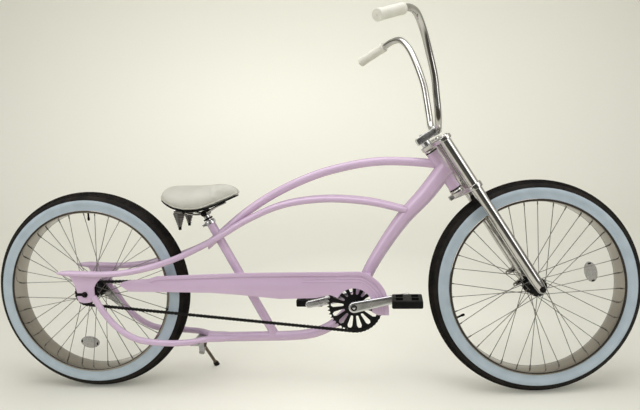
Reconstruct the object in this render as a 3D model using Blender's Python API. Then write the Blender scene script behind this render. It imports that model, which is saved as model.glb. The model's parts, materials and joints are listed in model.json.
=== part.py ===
"""Chopper bicycle: a stretched frame, triple-clamp fork, tall handlebar and 26 by 3 inch wheels.

Metres throughout. The bicycle is drawn upright in its ride frame: +X forward, +Y to the rider's
left, +Z up, with x = 0 half way between the axles and z = 0 on the ground. One empty then sets it
down as it parks: leaning on its side stand, with its front wheel turned a little to the left.
"""
from math import asin, atan, atan2, cos, degrees, hypot, pi, radians, sin, sqrt

import bmesh
import bpy
from mathutils import Matrix, Vector

# Parking
LEAN = radians(5.0)
STEER_REST = radians(7.2)
STAND_SPLAY = radians(45.0)

# Fit between two pieces that meet, and running gap at pins
FIT = 0.0003
RUNNING = 0.0006

# Wheels: 26 by 3 inch on rims 80 mm wide
WHEELBASE = 1.518
WHEEL_RADIUS = 0.350
TYRE_DEPTH = 0.0681
TYRE_WIDTH = 0.077
TYRE_CROWN_RADIUS = 0.036
RIM_WALL = 0.0034
RIM_WIDTH = 0.0796
RIM_FLANGE_HEIGHT = 0.0059
RIM_FLANGE_THICKNESS = 0.0030
WHEEL_SEGMENTS = 44
SPOKE_COUNT = 36
SPOKE_RADIUS = 0.0010
SPOKE_RIM_OFFSET = 0.006
SPOKE_CROSS = radians(58.0)

# Hubs and axles
AXLE_RADIUS = 0.005
NUT_RADIUS = 0.0085
NUT_HEIGHT = 0.0085
SPACER_RADIUS = 0.0080
SPOT_FACE_DEPTH = 0.0020
HUB_BARREL_RADIUS = 0.0185
HUB_FLANGE_RADIUS = 0.0315
HUB_FLANGE_THICKNESS = 0.0032
HUB_FLANGE_OFFSET = 0.030
FRONT_HUB_HALF = 0.0420
REAR_HUB_RIGHT = 0.0460
REAR_HUB_LEFT = 0.0500
SPROCKET_BOSS_LENGTH = 0.0125
SPROCKET_BOSS_RADIUS = 0.0150

# Head, fork and crowns, along the steering axis from the level of the front axle
HEAD_ANGLE = radians(58.5)
FORK_OFFSET = 0.045
HEAD_TUBE_RADIUS = 0.0190
HEAD_TUBE_BORE = 0.0160
CROWN_CLEARANCE = 0.0341
HEAD_DRAWN_RISE = 0.3886
HEAD_TUBE_LENGTH = 0.1393
HEADSET_RADIUS = 0.0215
HEADSET_HEIGHT = 0.0120
STEERER_RADIUS = 0.0127
LOWER_CROWN_THICKNESS = 0.0170
UPPER_CROWN_THICKNESS = 0.0140
CROWN_REAR = 0.0245
LEG_RADIUS = 0.0180
LEG_HALF_SPREAD = 0.0665
LEG_TIP = 0.0160
LEG_TOP_STAND = 0.0040
CLAMP_WALL = 0.0060

# Stem and handlebar
STEM_COLLAR_RADIUS = 0.0162
STEM_COLLAR_HEIGHT = 0.0140
STEM_BLOCK_HEIGHT = 0.0230
STEM_HALF_WIDTH = 0.0170
STEM_REAR = 0.0240
BAR_RADIUS = 0.0111
BAR_CLAMP_REACH = 0.0500
BAR_CLAMP_RISE = 0.0118
BAR_CLAMP_WALL = 0.0050
GRIP_RADIUS = 0.0165

# Frame tubes. The lower tube ends between its stays, ahead of the rear axle by its reach in wheel radii.
TOP_TUBE_RADIUS = 0.0143
RAIL_RADIUS = 0.0107
DOWN_TUBE_HEAD_RADIUS = 0.0290
DOWN_TUBE_FOOT_RADIUS = 0.0195
SEAT_TUBE_RADIUS = 0.0150
SEAT_TUBE_LEAN = radians(27.6)
SEAT_FOOT_SHARE = 0.52604
SEAT_FOOT_DROP = 0.168
SEAT_TUBE_RISE = 0.240
SEAT_COLLAR_HEIGHT = 0.0150
SEAT_COLLAR_WALL = 0.0038
LOWER_TUBE_RADIUS = 0.0165
LOWER_TUBE_REACH = 1.1686
LOWER_STAY_RADIUS = 0.0107
STAY_HALF_SPREAD = 0.0740
RAIL_FRONT_HALF_SPREAD = 0.0180
TAIL_LENGTH = 0.030
TAIL_SLANT = radians(-15)

# Bottom bracket, crank and pedals
BRACKET_SHARE = 0.75545
BRACKET_DROP = 0.047
BRACKET_RADIUS = 0.0230
BRACKET_HALF_WIDTH = 0.0340
SPINDLE_RADIUS = 0.0085
CRANK_LENGTH = 0.175
CRANK_ANGLE = radians(11.5)
CRANK_INNER = 0.0755
CRANK_THICKNESS = 0.0130
CRANK_BOSS_RADIUS = 0.0180
CRANK_EYE_RADIUS = 0.0125
CRANK_NECK_RADIUS = 0.0150
PEDAL_SPINDLE_RADIUS = 0.0060
PEDAL_LENGTH = 0.0960
PEDAL_WIDTH = 0.0880
PEDAL_THICKNESS = 0.0260
PEDAL_GAP = 0.0050
PEDAL_WINDOW_START = 0.013
PEDAL_WINDOW_END = 0.030
PEDAL_WINDOW_INSET = 0.010

# Chain drive: half inch pitch
PITCH = 0.0127
RING_TEETH = 44
SPROCKET_TEETH = 20
TOOTH_THICKNESS = 0.0028
TOOTH_ROOT_DEPTH = 0.0040
TOOTH_HEIGHT = 0.0072
CHAIN_LINE = 0.0530
CHAIN_GROOVE = 0.0044
CHAIN_WIDTH = 0.0086
CHAIN_PIN_HEIGHT = 0.0088
CHAIN_WAIST_HEIGHT = 0.0062
SLOT_COUNT = 14

# Chain guard
GUARD_INNER = 0.0660
GUARD_THICKNESS = 0.0020
GUARD_RIM_PROUD = 0.0018
GUARD_RIM_WIDTH = 0.0080
GUARD_WINDOW_RADIUS = 0.0600
GUARD_TAB_WIDTH = 0.0200
GUARD_TAB_THICKNESS = 0.0030

# Rear ends
PLATE_OFFSET = 0.0700
PLATE_THICKNESS = 0.0060
AXLE_SLOT_HEIGHT = 0.0108
BRAKE_ARM_LENGTH = 0.100
BRAKE_ARM_THICKNESS = 0.0030
BRAKE_ARM_OFFSET = 0.0530
BRAKE_HUB_RADIUS = 0.0190
BRAKE_TIP_RADIUS = 0.0085
BRAKE_PIN_RADIUS = 0.0042
BRAKE_COLLAR_RADIUS = 0.0095

# Seat
SEAT_POST_RADIUS = 0.0111
SADDLE_CLAMP_RISE = 0.2550
SADDLE_DRUM_RADIUS = 0.0105
SADDLE_DRUM_HALF = 0.0280
SADDLE_RAIL_RADIUS = 0.0035
SADDLE_RAIL_SPREAD = 0.0220
SPRING_BACK = 0.0794
SPRING_HALF_SPREAD = 0.0500
SPRING_TOP_RISE = 0.0220
SPRING_LENGTH = 0.0530
SPRING_TOP_RADIUS = 0.0195
SPRING_TIP_RADIUS = 0.0075
SPRING_COILS = 4
BRACKET_HALF_LENGTH = 0.0120
PAN_THICKNESS = 0.0050
PAN_SHARE = 0.86

# Side stand
STAND_SETBACK = 0.0350
STAND_Y = 0.038
STAND_DROP = 0.214
STAND_ROD_RADIUS = 0.0080
STAND_FOOT_RADIUS = 0.0115
STAND_BOSS_RADIUS = 0.0115
STAND_PIN_RADIUS = 0.0045
STAND_RAKE = radians(3.0)
STAND_FOLD = Vector((-0.980, 0.150, -0.130))
BRIDGE_LENGTH = 0.034
BRIDGE_THICKNESS = 0.008

REAR_AXLE = Vector((-WHEELBASE / 2, 0, WHEEL_RADIUS))
FRONT_AXLE = Vector((WHEELBASE / 2, 0, WHEEL_RADIUS))
RIM_SEAT_RADIUS = WHEEL_RADIUS - TYRE_DEPTH
RIM_INNER_RADIUS = RIM_SEAT_RADIUS - RIM_WALL
RAIL_HALF_GAUGE = SEAT_TUBE_RADIUS + RAIL_RADIUS + FIT
CROWN_TOP = WHEEL_RADIUS + CROWN_CLEARANCE + LOWER_CROWN_THICKNESS
HEAD_TUBE_START = CROWN_TOP + HEADSET_HEIGHT + 2 * FIT
UPPER_CROWN_FOOT = HEAD_TUBE_START + HEAD_TUBE_LENGTH + HEADSET_HEIGHT + 2 * FIT
LEG_TOP = UPPER_CROWN_FOOT + UPPER_CROWN_THICKNESS + LEG_TOP_STAND
STEM_FOOT = UPPER_CROWN_FOOT + UPPER_CROWN_THICKNESS + FIT
STEM_BLOCK_FOOT = STEM_FOOT + STEM_COLLAR_HEIGHT
STEM_BLOCK_TOP = STEM_BLOCK_FOOT + STEM_BLOCK_HEIGHT


def clear_scene():
    for item in list(bpy.data.objects):
        bpy.data.objects.remove(item, do_unlink=True)


def finish(name, colour, roughness, metallic=0.0):
    material = bpy.data.materials.new(name)
    material.use_nodes = True
    shader = material.node_tree.nodes["Principled BSDF"]
    shader.inputs["Base Color"].default_value = (*colour, 1.0)
    shader.inputs["Roughness"].default_value = roughness
    shader.inputs["Metallic"].default_value = metallic
    return material


PINK = (0.66, 0.47, 0.61)
CHROME = (0.80, 0.80, 0.80)
BLACK = (0.015, 0.015, 0.017)
CREAM = (0.70, 0.69, 0.64)
SILVER = (0.62, 0.63, 0.64)

# Where the bicycle's pieces hang: name of the empty to its object
hangers = {}


def hanger(name, place, parent=None):
    """An empty on a joint's axis, or at the root, that carries the pieces of one moving body."""
    empty = bpy.data.objects.new(name, None)
    bpy.context.collection.objects.link(empty)
    empty.matrix_basis = place
    if parent:
        empty.parent = hangers[parent]
    hangers[name] = empty
    return empty


def body(name, bm, hung_on, colour, roughness, metallic=0.0, sharp=35):
    """Turn a bmesh into a named object of its own material on one of the hangers."""
    bmesh.ops.remove_doubles(bm, verts=bm.verts, dist=1e-6)
    bmesh.ops.recalc_face_normals(bm, faces=bm.faces)
    mesh = bpy.data.meshes.new(name)
    bm.to_mesh(mesh)
    bm.free()
    mesh.shade_smooth()
    mesh.set_sharp_from_angle(angle=radians(sharp))
    item = bpy.data.objects.new(name, mesh)
    item.data.materials.append(finish(name, colour, roughness, metallic))
    item.parent = hangers[hung_on]
    bpy.context.collection.objects.link(item)
    return item


def tool(item):
    """Mark an object as a cutter or guide, which is not part of the bicycle."""
    item.hide_render = True
    item.display_type = "WIRE"
    return item


def boolean(item, operand, operation="DIFFERENCE"):
    tool(operand)
    step = item.modifiers.new(operand.name, "BOOLEAN")
    step.operation = operation
    step.object = operand
    step.solver = "EXACT"
    return item


def cut(item, cutter):
    return boolean(item, cutter, "DIFFERENCE")


def weld(item, addition):
    return boolean(item, addition, "UNION")


def bevel(item, width, segments=2, angle=40):
    step = item.modifiers.new("edges", "BEVEL")
    step.width = width
    step.segments = segments
    step.limit_method = "ANGLE"
    step.angle_limit = radians(angle)
    return item


def smooth_path(stations, bend=11.0, stride=1.0):
    """Catmull-Rom curve through the stations, thinned to a point for every bend degrees it turns.

    A station is x, y, z and, where the thickness changes along the curve, a radius.
    """
    points = [Vector(station) for station in stations]
    padded = [points[0] * 2 - points[1], *points, points[-1] * 2 - points[-2]]
    fine = []
    for a, b, c, d in zip(padded, padded[1:], padded[2:], padded[3:]):
        for step in range(8):
            t = step / 8
            fine.append(0.5 * (2 * b + (c - a) * t + (2 * a - 5 * b + 4 * c - d) * t ** 2
                               + (3 * b - a - 3 * c + d) * t ** 3))
    fine.append(points[-1])
    path = [fine[0]]
    turned_by = 0.0
    for before, here, after in zip(fine, fine[1:], fine[2:]):
        leaving = Vector(after[:3]) - Vector(here[:3])
        coming = Vector(here[:3]) - Vector(before[:3])
        turned_by += degrees(leaving.angle(coming))
        gone = (Vector(here[:3]) - Vector(path[-1][:3])).length
        if turned_by >= bend or gone >= stride:
            path.append(here)
            turned_by = 0.0
    path.append(fine[-1])
    return path


def tube(path, radii=None, sides=12):
    """Round bar along a path with filled ends.

    radii is one number, one for each point, or nothing where each point has its radius fourth.
    """
    if radii is None:
        radii = [point[3] for point in path]
    elif not isinstance(radii, (list, tuple)):
        radii = [radii] * len(path)
    curve = bpy.data.curves.new("bar", "CURVE")
    curve.dimensions = "3D"
    curve.bevel_depth = 1.0
    curve.bevel_resolution = sides // 2 - 2
    curve.use_fill_caps = True
    spline = curve.splines.new("POLY")
    spline.points.add(len(path) - 1)
    for point, place, radius in zip(spline.points, path, radii):
        point.co = (*place[:3], 1.0)
        point.radius = radius
    bar = bpy.data.objects.new("bar", curve)
    mesh = bpy.data.meshes.new_from_object(bar)
    bm = bmesh.new()
    bm.from_mesh(mesh)
    bpy.data.objects.remove(bar)
    bpy.data.curves.remove(curve)
    bpy.data.meshes.remove(mesh)
    return bm


def turned(profile, segments, axis="Y", place=None):
    """Ring or solid of revolution. profile is (radius, along) in order round a closed section."""
    bm = bmesh.new()
    if axis == "Y":
        verts = [bm.verts.new((0, along, -radius)) for radius, along in profile]
        direction = (0, 1, 0)
    else:
        verts = [bm.verts.new((radius, 0, along)) for radius, along in profile]
        direction = (0, 0, 1)
    edges = [bm.edges.new((a, b)) for a, b in zip(verts, verts[1:])]
    if profile[0][0] > 1e-6:
        edges.append(bm.edges.new((verts[-1], verts[0])))
    bmesh.ops.spin(bm, geom=verts + edges, cent=(0, 0, 0), axis=direction, dvec=(0, 0, 0),
                   angle=2 * pi, steps=segments, use_merge=True, use_duplicate=False)
    bmesh.ops.remove_doubles(bm, verts=bm.verts, dist=1e-6)
    if place:
        bm.transform(place)
    return bm


def rod(start, end, radius, sides=12):
    return tube([Vector(start), Vector(end)], radius, sides)


def plate(outline, low, high):
    """Sheet in the XZ plane, outline of (x, z), between two values of y."""
    bm = bmesh.new()
    face = bm.faces.new([bm.verts.new((x, low, z)) for x, z in outline])
    sheet = bmesh.ops.extrude_face_region(bm, geom=[face])
    moved = [item for item in sheet["geom"] if isinstance(item, bmesh.types.BMVert)]
    bmesh.ops.translate(bm, verts=moved, vec=(0, high - low, 0))
    return bm


def slab(outline, low, high):
    """Sheet in the XY plane, outline of (x, y), between two values of z."""
    bm = plate([(x, y) for x, y in outline], -high, -low)
    bm.transform(Matrix.Rotation(radians(-90), 4, "X") @ Matrix.Scale(-1, 4, (0, 0, 1)))
    return bm


def box(low, high):
    bm = bmesh.new()
    size = Vector(high) - Vector(low)
    middle = (Vector(high) + Vector(low)) / 2
    bmesh.ops.create_cube(bm, size=1.0, matrix=Matrix.Translation(middle) @ Matrix.Diagonal((*size, 1)))
    return bm


def arc(centre, radius, start, end, steps):
    """Points of an arc in degrees, ends included."""
    angles = [radians(start + (end - start) * i / steps) for i in range(steps + 1)]
    return [(centre[0] + radius * cos(a), centre[1] + radius * sin(a)) for a in angles]


def link_outline(first, first_radius, second, second_radius, steps=8):
    """Outline of two discs and the straight flanks between them."""
    along = atan2(second[1] - first[1], second[0] - first[0])
    length = hypot(second[0] - first[0], second[1] - first[1])
    flank = degrees(asin((first_radius - second_radius) / length))
    turn = degrees(along)
    rear = arc(first, first_radius, turn + 90 - flank, turn + 270 + flank, steps)
    front = arc(second, second_radius, turn - 90 + flank, turn + 90 - flank, steps)
    return rear + front


def merge(*parts):
    """One bmesh of several that do not touch."""
    whole = bmesh.new()
    for part in parts:
        mesh = bpy.data.meshes.new("piece")
        part.to_mesh(mesh)
        part.free()
        whole.from_mesh(mesh)
        bpy.data.meshes.remove(mesh)
    return whole


def steering_matrix(turn):
    """Place of the steering frame: z up its axis, x forward, origin level with the front axle."""
    tilt = pi / 2 - HEAD_ANGLE
    forward = Vector((cos(tilt), 0, sin(tilt)))
    origin = FRONT_AXLE - forward * FORK_OFFSET
    return Matrix.Translation(origin) @ Matrix.Rotation(-tilt, 4, "Y") @ Matrix.Rotation(turn, 4, "Z")


def frame_x(share):
    """Place along the bicycle, for a share of the way from the rear axle to the head tube."""
    return REAR_AXLE.x + share * (head_point(0, 0.5)[0] - REAR_AXLE.x)


def rear_x(reach):
    """Place along the bicycle, for a distance ahead of the rear axle in wheel radii."""
    return REAR_AXLE.x + reach * WHEEL_RADIUS


def frame_z(height):
    """Height over the ground, for a height over the axles."""
    return WHEEL_RADIUS + height


def laid(stations):
    """Stations in the ride frame: a share of the way forward first, a height over the axles third.

    A station high on the frame moves up or down with the head tube, a low one stays with the axles.
    """
    lift = head_point(0, 0.5)[2] - frame_z(HEAD_DRAWN_RISE)
    placed = []
    for share, way, height, *rest in stations:
        follow = min(1, max(0, (height - 0.100) / 0.290))
        placed.append((frame_x(share), way, frame_z(height) + follow * lift, *rest))
    return tuple(placed)


def head_point(forward, share):
    """Station a little before or behind the head tube's axis, at a share of its length."""
    point = steering_matrix(0) @ Vector((forward, 0, HEAD_TUBE_START + share * HEAD_TUBE_LENGTH))
    return tuple(point)


def seat_axis(z):
    """Point of the seat tube's axis at a height."""
    foot_z = frame_z(-SEAT_FOOT_DROP)
    back = (z - foot_z) * sin(SEAT_TUBE_LEAN) / cos(SEAT_TUBE_LEAN)
    return Vector((frame_x(SEAT_FOOT_SHARE) - back, 0, z))


def seat_point(forward, height):
    """Station a little before the seat tube's axis, at a height over the axles."""
    return tuple(seat_axis(frame_z(height)) + Vector((forward, 0, 0)))


BRACKET = Vector((frame_x(BRACKET_SHARE), 0, frame_z(-BRACKET_DROP)))
SEAT_TUBE_TOP = frame_z(SEAT_TUBE_RISE)
SADDLE_CLAMP = seat_axis(frame_z(SADDLE_CLAMP_RISE))
SPRING_X = SADDLE_CLAMP.x - SPRING_BACK
SPRING_TOP_Z = SADDLE_CLAMP.z + SPRING_TOP_RISE
SPRING_TIP_Z = SPRING_TOP_Z - SPRING_LENGTH
STAND_X = rear_x(LOWER_TUBE_REACH) - STAND_SETBACK
STAND_Z = frame_z(-STAND_DROP)


# The frame's centrelines. Columns: share of the way from the rear axle to the head tube, y,
# height over the axles.
TOP_TUBE = (
    head_point(-0.0085, 0.7175),
    *laid((
        (0.92007, 0, 0.419),
        (0.83858, 0, 0.424),
        (0.75708, 0, 0.414),
        (0.65929, 0, 0.386),
        (0.55335, 0, 0.333),
        (0.4637, 0, 0.268),
    )),
    seat_point(0.0076, 0.188),
)
# Columns as above, but y is a share of the way out from the gauge beside the seat tube to the
# stay spread.
RAIL = laid((
    (0.8997, 0, 0.262),
    (0.79783, 0, 0.293),
    (0.68374, 0, 0.305),
    (0.56964, 0, 0.290),
    (0.47185, 0, 0.245),
    (0.39036, 0.00, 0.190),
    (0.33331, 0.18, 0.154),
    (0.26812, 0.68, 0.120),
    (0.20292, 0.93, 0.095),
    (0.12958, 1.00, 0.077),
    (0.05623, 1.00, 0.0705),
    (-0.03341, 1.00, 0.0745),
))
# The rail's drawn point. Columns: distance past the last station, share of the full radius
RAIL_TIP = (
    (0.022, 0.88),
    (0.042, 0.60),
    (0.055, 0.24),
)
# Columns as for the top tube, then the share of the way from the head radius to the foot radius
DOWN_TUBE = (
    (*head_point(0.01441, 0.5325), 0.00),
    *laid((
        (0.95348, 0, 0.314, 0.06),
        (0.89155, 0, 0.233, 0.42),
        (0.83532, 0, 0.139, 0.75),
        (0.79131, 0, 0.048, 0.92),
        (0.75871, 0, -0.050, 1.00),
    )),
)
LOWER_TUBE = (
    (rear_x(LOWER_TUBE_REACH), 0, frame_z(-0.174)),
    *laid((
        (0.47185, 0, -0.1715),
        (0.59409, 0, -0.167),
        (0.65521, 0, -0.151),
        (0.70411, 0, -0.116),
        (0.75545, 0, -0.050),
    )),
)
# Columns: distance ahead of the rear axle in wheel radii, y as a share of the way out from the
# lower tube's flank to the stay spread, height over the axles.
LOWER_STAY = tuple((rear_x(reach), share, frame_z(height)) for reach, share, height in (
    (1.3400, 0.00, -0.173),
    (1.1686, 0.16, -0.173),
    (1.0257, 0.74, -0.173),
    (0.8543, 1.00, -0.172),
    (0.6543, 1.00, -0.168),
    (0.4829, 1.00, -0.155),
    (0.3257, 1.00, -0.121),
    (0.1971, 1.00, -0.071),
    (0.0886, 1.00, -0.007),
))


def rail_path(side, grow=0.0):
    """Centreline of a twin rail with its radius at each point, tip included."""
    stations = []
    for i, (x, share, z) in enumerate(RAIL):
        near = RAIL_FRONT_HALF_SPREAD if i == 0 else RAIL_HALF_GAUGE
        stations.append((x, side * (near + share * (STAY_HALF_SPREAD - near)), z, RAIL_RADIUS + grow))
    path = smooth_path(stations)
    way = (path[-1] - path[-2]).normalized()
    foot = path[-1]
    for reach, share in RAIL_TIP:
        point = foot + way * reach
        point[3] = RAIL_RADIUS * share + grow
        path.append(point)
    return path


def stay_path(side):
    near = LOWER_TUBE_RADIUS + 0.4 * LOWER_STAY_RADIUS
    stations = [(x, side * (near + share * (STAY_HALF_SPREAD - near)), z) for x, share, z in LOWER_STAY]
    return smooth_path(stations)


def down_tube_shape(grow=0.0):
    span = DOWN_TUBE_FOOT_RADIUS - DOWN_TUBE_HEAD_RADIUS
    stations = [(x, y, z, DOWN_TUBE_HEAD_RADIUS + share * span + grow) for x, y, z, share in DOWN_TUBE]
    return tube(smooth_path(stations, stride=0.055), sides=14)


def wheel_low(stance, centre, axis):
    """Lowest point of a tyre for a stance of the whole bicycle."""
    middle = stance @ centre
    across = (stance.to_3x3() @ axis).normalized()
    ring = WHEEL_RADIUS - TYRE_CROWN_RADIUS
    return middle.z - ring * sqrt(1 - across.z ** 2) - TYRE_CROWN_RADIUS


def stance_matrix():
    """Lean to the left, with just the pitch and height that put both tyres on the ground."""
    steered = steering_matrix(STEER_REST)
    front_centre = steered @ Vector((FORK_OFFSET, 0, 0))
    front_axis = steered.to_3x3() @ Vector((0, 1, 0))
    pitch = 0.0
    for _ in range(8):
        stance = Matrix.Rotation(pitch, 4, "Y") @ Matrix.Rotation(-LEAN, 4, "X")
        rear = wheel_low(stance, REAR_AXLE, Vector((0, 1, 0)))
        front = wheel_low(stance, front_centre, front_axis)
        pitch += atan((front - rear) / WHEELBASE)
    return Matrix.Translation((0, 0, -rear)) @ stance


def build_hangers():
    hanger("stance", stance_matrix())
    hanger("rear_wheel", Matrix.Translation(REAR_AXLE), "stance")
    hanger("sprocket_carrier", Matrix.Translation(REAR_AXLE), "stance")
    hanger("crank", Matrix.Translation(BRACKET) @ Matrix.Rotation(-CRANK_ANGLE, 4, "Y"), "stance")
    for name, side in (("right", -1), ("left", 1)):
        place = Matrix.Translation((-side * CRANK_LENGTH, 0, 0)) @ Matrix.Rotation(CRANK_ANGLE, 4, "Y")
        hanger("pedal_axis_" + name, place, "crank")
    hanger("steering", steering_matrix(STEER_REST), "stance")
    hanger("front_wheel", Matrix.Translation((FORK_OFFSET, 0, 0)), "steering")
    hanger("stand_pivot", Matrix.Translation((STAND_X, STAND_Y, STAND_Z)), "stance")


def build_tyre(name, wheel):
    """Closed ring: a flat bead band on the rim, sidewalls and a round tread."""
    bead_half = RIM_WIDTH / 2 - RIM_FLANGE_THICKNESS - FIT
    bead_radius = RIM_SEAT_RADIUS + FIT
    ring = WHEEL_RADIUS - TYRE_CROWN_RADIUS
    section = [(bead_radius, bead_half)]
    for angle in (100, 68, 38, 12, -12, -38, -68, -100):
        a = radians(angle)
        section.append((ring + TYRE_CROWN_RADIUS * cos(a), TYRE_WIDTH / 2 * sin(a)))
    section.append((bead_radius, -bead_half))
    body(name, turned(section, WHEEL_SEGMENTS), wheel, BLACK, 0.75, sharp=50)


def build_rim(name, wheel):
    """Wide channel whose edges rise to a flange."""
    half = RIM_WIDTH / 2
    top = RIM_SEAT_RADIUS + RIM_FLANGE_HEIGHT
    throat = half - RIM_FLANGE_THICKNESS
    section = [(RIM_INNER_RADIUS, -half), (top, -half), (RIM_SEAT_RADIUS, -throat),
               (RIM_SEAT_RADIUS, throat), (top, half), (RIM_INNER_RADIUS, half)]
    body(name, turned(section, WHEEL_SEGMENTS), wheel, SILVER, 0.3, 1.0)


def wire(start, end, radius):
    """Three-sided bar, for the thin spokes."""
    bm = bmesh.new()
    bmesh.ops.create_cone(bm, cap_ends=True, segments=3, radius1=radius, radius2=radius,
                          depth=(end - start).length)
    turn = (end - start).to_track_quat("Z", "Y").to_matrix().to_4x4()
    bm.transform(Matrix.Translation((start + end) / 2) @ turn)
    return bm


def spokes():
    """Crossed spokes from both hub flanges to just short of the rim."""
    bars = []
    reach = RIM_INNER_RADIUS * cos(pi / WHEEL_SEGMENTS) - 0.5 * SPOKE_RADIUS - FIT
    circle = HUB_FLANGE_RADIUS - 0.0035
    for k in range(SPOKE_COUNT):
        side = 1 if k % 2 else -1
        lead = 1 if (k // 2) % 2 else -1
        rim_angle = 2 * pi * (k + 0.5) / SPOKE_COUNT
        hub_angle = rim_angle + lead * SPOKE_CROSS
        hub_y = side * (HUB_FLANGE_OFFSET + lead * 0.0017)
        hub_end = Vector((circle * cos(hub_angle), hub_y, circle * sin(hub_angle)))
        rim_end = Vector((reach * cos(rim_angle), side * SPOKE_RIM_OFFSET, reach * sin(rim_angle)))
        bars.append(wire(hub_end, rim_end, SPOKE_RADIUS))
    return merge(*bars)


def build_hub(name, wheel, right, left):
    """Barrel with two flanges, bored for its axle, and the spokes that it carries."""
    bore = AXLE_RADIUS + RUNNING
    inner = HUB_FLANGE_OFFSET - HUB_FLANGE_THICKNESS / 2
    outer = HUB_FLANGE_OFFSET + HUB_FLANGE_THICKNESS / 2
    neck = 0.72 * HUB_BARREL_RADIUS
    section = [(bore, -right), (neck, -right), (HUB_FLANGE_RADIUS, -outer), (HUB_FLANGE_RADIUS, -inner),
               (HUB_BARREL_RADIUS, -inner), (HUB_BARREL_RADIUS, inner), (HUB_FLANGE_RADIUS, inner),
               (HUB_FLANGE_RADIUS, outer), (neck, left), (bore, left)]
    hub = body(name, turned(section, 16), wheel, BLACK, 0.35)
    weld(hub, body(name + "_wires", spokes(), wheel, SILVER, 0.3, 1.0))


def axle_with_nuts(half, collars):
    """Threaded rod, hexagon nuts and inner spacers, in one turned run along Y.

    collars holds (radius, from, to) of each thicker stretch, in order along +Y.
    """
    section = [(0.0, -half), (AXLE_RADIUS, -half)]
    for radius, low, high in collars:
        section += [(AXLE_RADIUS, low), (radius, low), (radius, high), (AXLE_RADIUS, high)]
    section += [(AXLE_RADIUS, half), (0.0, half)]
    return turned(section, 8)


def leg_seats():
    """Distances out from the mid-plane of the two flats round the axle on each fork leg."""
    reach = leg_radius_at(0.0) - SPOT_FACE_DEPTH
    return LEG_HALF_SPREAD - reach, LEG_HALF_SPREAD + reach


def build_front_axle():
    inner_flat, outer_flat = leg_seats()
    nut = (NUT_RADIUS, outer_flat + FIT, outer_flat + FIT + NUT_HEIGHT)
    spacer = (SPACER_RADIUS, FRONT_HUB_HALF + RUNNING, inner_flat - FIT)
    collars = [(nut[0], -nut[2], -nut[1]), (spacer[0], -spacer[2], -spacer[1]), spacer, nut]
    axle = axle_with_nuts(nut[2] + 0.004, collars)
    axle.transform(Matrix.Translation((FORK_OFFSET, 0, 0)))
    body("front_axle", axle, "steering", BLACK, 0.4, 0.6)


def leg_radius_at(z):
    """Leg radius at a height over the axle: full tube with a bullet end."""
    shape = ((-LEG_TIP, 0.30), (-0.011, 0.62), (-0.003, 0.82), (0.012, 0.94), (0.034, 1.0))
    if z >= shape[-1][0]:
        return LEG_RADIUS
    for (z0, share0), (z1, share1) in zip(shape, shape[1:]):
        if z <= z1:
            return LEG_RADIUS * (share0 + (share1 - share0) * (z - z0) / (z1 - z0))
    return LEG_RADIUS


def build_fork():
    heights = (-LEG_TIP, -0.011, -0.003, 0.012, 0.034, LEG_TOP)
    for name, side in (("right", -1), ("left", 1)):
        path = [(FORK_OFFSET, side * LEG_HALF_SPREAD, z) for z in heights]
        leg = body("fork_leg_" + name, tube(path, [leg_radius_at(z) for z in heights], 14),
                   "steering", CHROME, 0.12, 1.0)
        inner_flat, outer_flat = leg_seats()
        bores = (
            (inner_flat - 0.02, outer_flat + 0.02, AXLE_RADIUS + FIT),
            (inner_flat - 0.02, inner_flat, NUT_RADIUS + 0.002),
            (outer_flat, outer_flat + 0.02, NUT_RADIUS + 0.002),
        )
        for k, (near, far, radius) in enumerate(bores):
            hole = rod((FORK_OFFSET, side * near, 0), (FORK_OFFSET, side * far, 0), radius)
            cut(leg, body("leg_bore_%s_%d" % (name, k), hole, "steering", CHROME, 0.2))

    crowns = (
        ("lower_crown", CROWN_TOP - LOWER_CROWN_THICKNESS, CROWN_TOP),
        ("upper_crown", UPPER_CROWN_FOOT, UPPER_CROWN_FOOT + UPPER_CROWN_THICKNESS),
    )
    for name, low, high in crowns:
        crown = body(name, slab(crown_outline(), low, high), "steering", CHROME, 0.15, 1.0)
        for side_name, side in (("right", -1), ("left", 1)):
            bore = rod((FORK_OFFSET, side * LEG_HALF_SPREAD, low - 0.01),
                       (FORK_OFFSET, side * LEG_HALF_SPREAD, high + 0.01), LEG_RADIUS + FIT, 14)
            cut(crown, body(name + "_bore_" + side_name, bore, "steering", CHROME, 0.2))
        if name == "upper_crown":
            hole = rod((0, 0, low - 0.01), (0, 0, high + 0.01), STEERER_RADIUS + FIT, 16)
            cut(crown, body("upper_crown_hole", hole, "steering", CHROME, 0.2))
        else:
            top = STEM_BLOCK_TOP - 0.003
            steerer = rod((0, 0, low + 0.002), (0, 0, top), STEERER_RADIUS, 16)
            weld(crown, body("steerer", steerer, "steering", CHROME, 0.2, 1.0))


def crown_outline():
    """Clamp plate seen along the steering axis: a lug behind the steerer and a ring at each leg."""
    ring = LEG_RADIUS + CLAMP_WALL
    right = (FORK_OFFSET, -LEG_HALF_SPREAD)
    left = (FORK_OFFSET, LEG_HALF_SPREAD)
    rear = arc((0, 0), CROWN_REAR, 120, 240, 4)
    return (rear + arc(right, ring, 205, 400, 6)
            + [(FORK_OFFSET + 0.010, -0.030), (FORK_OFFSET + 0.010, 0.030)]
            + arc(left, ring, -40, 155, 6))


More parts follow.
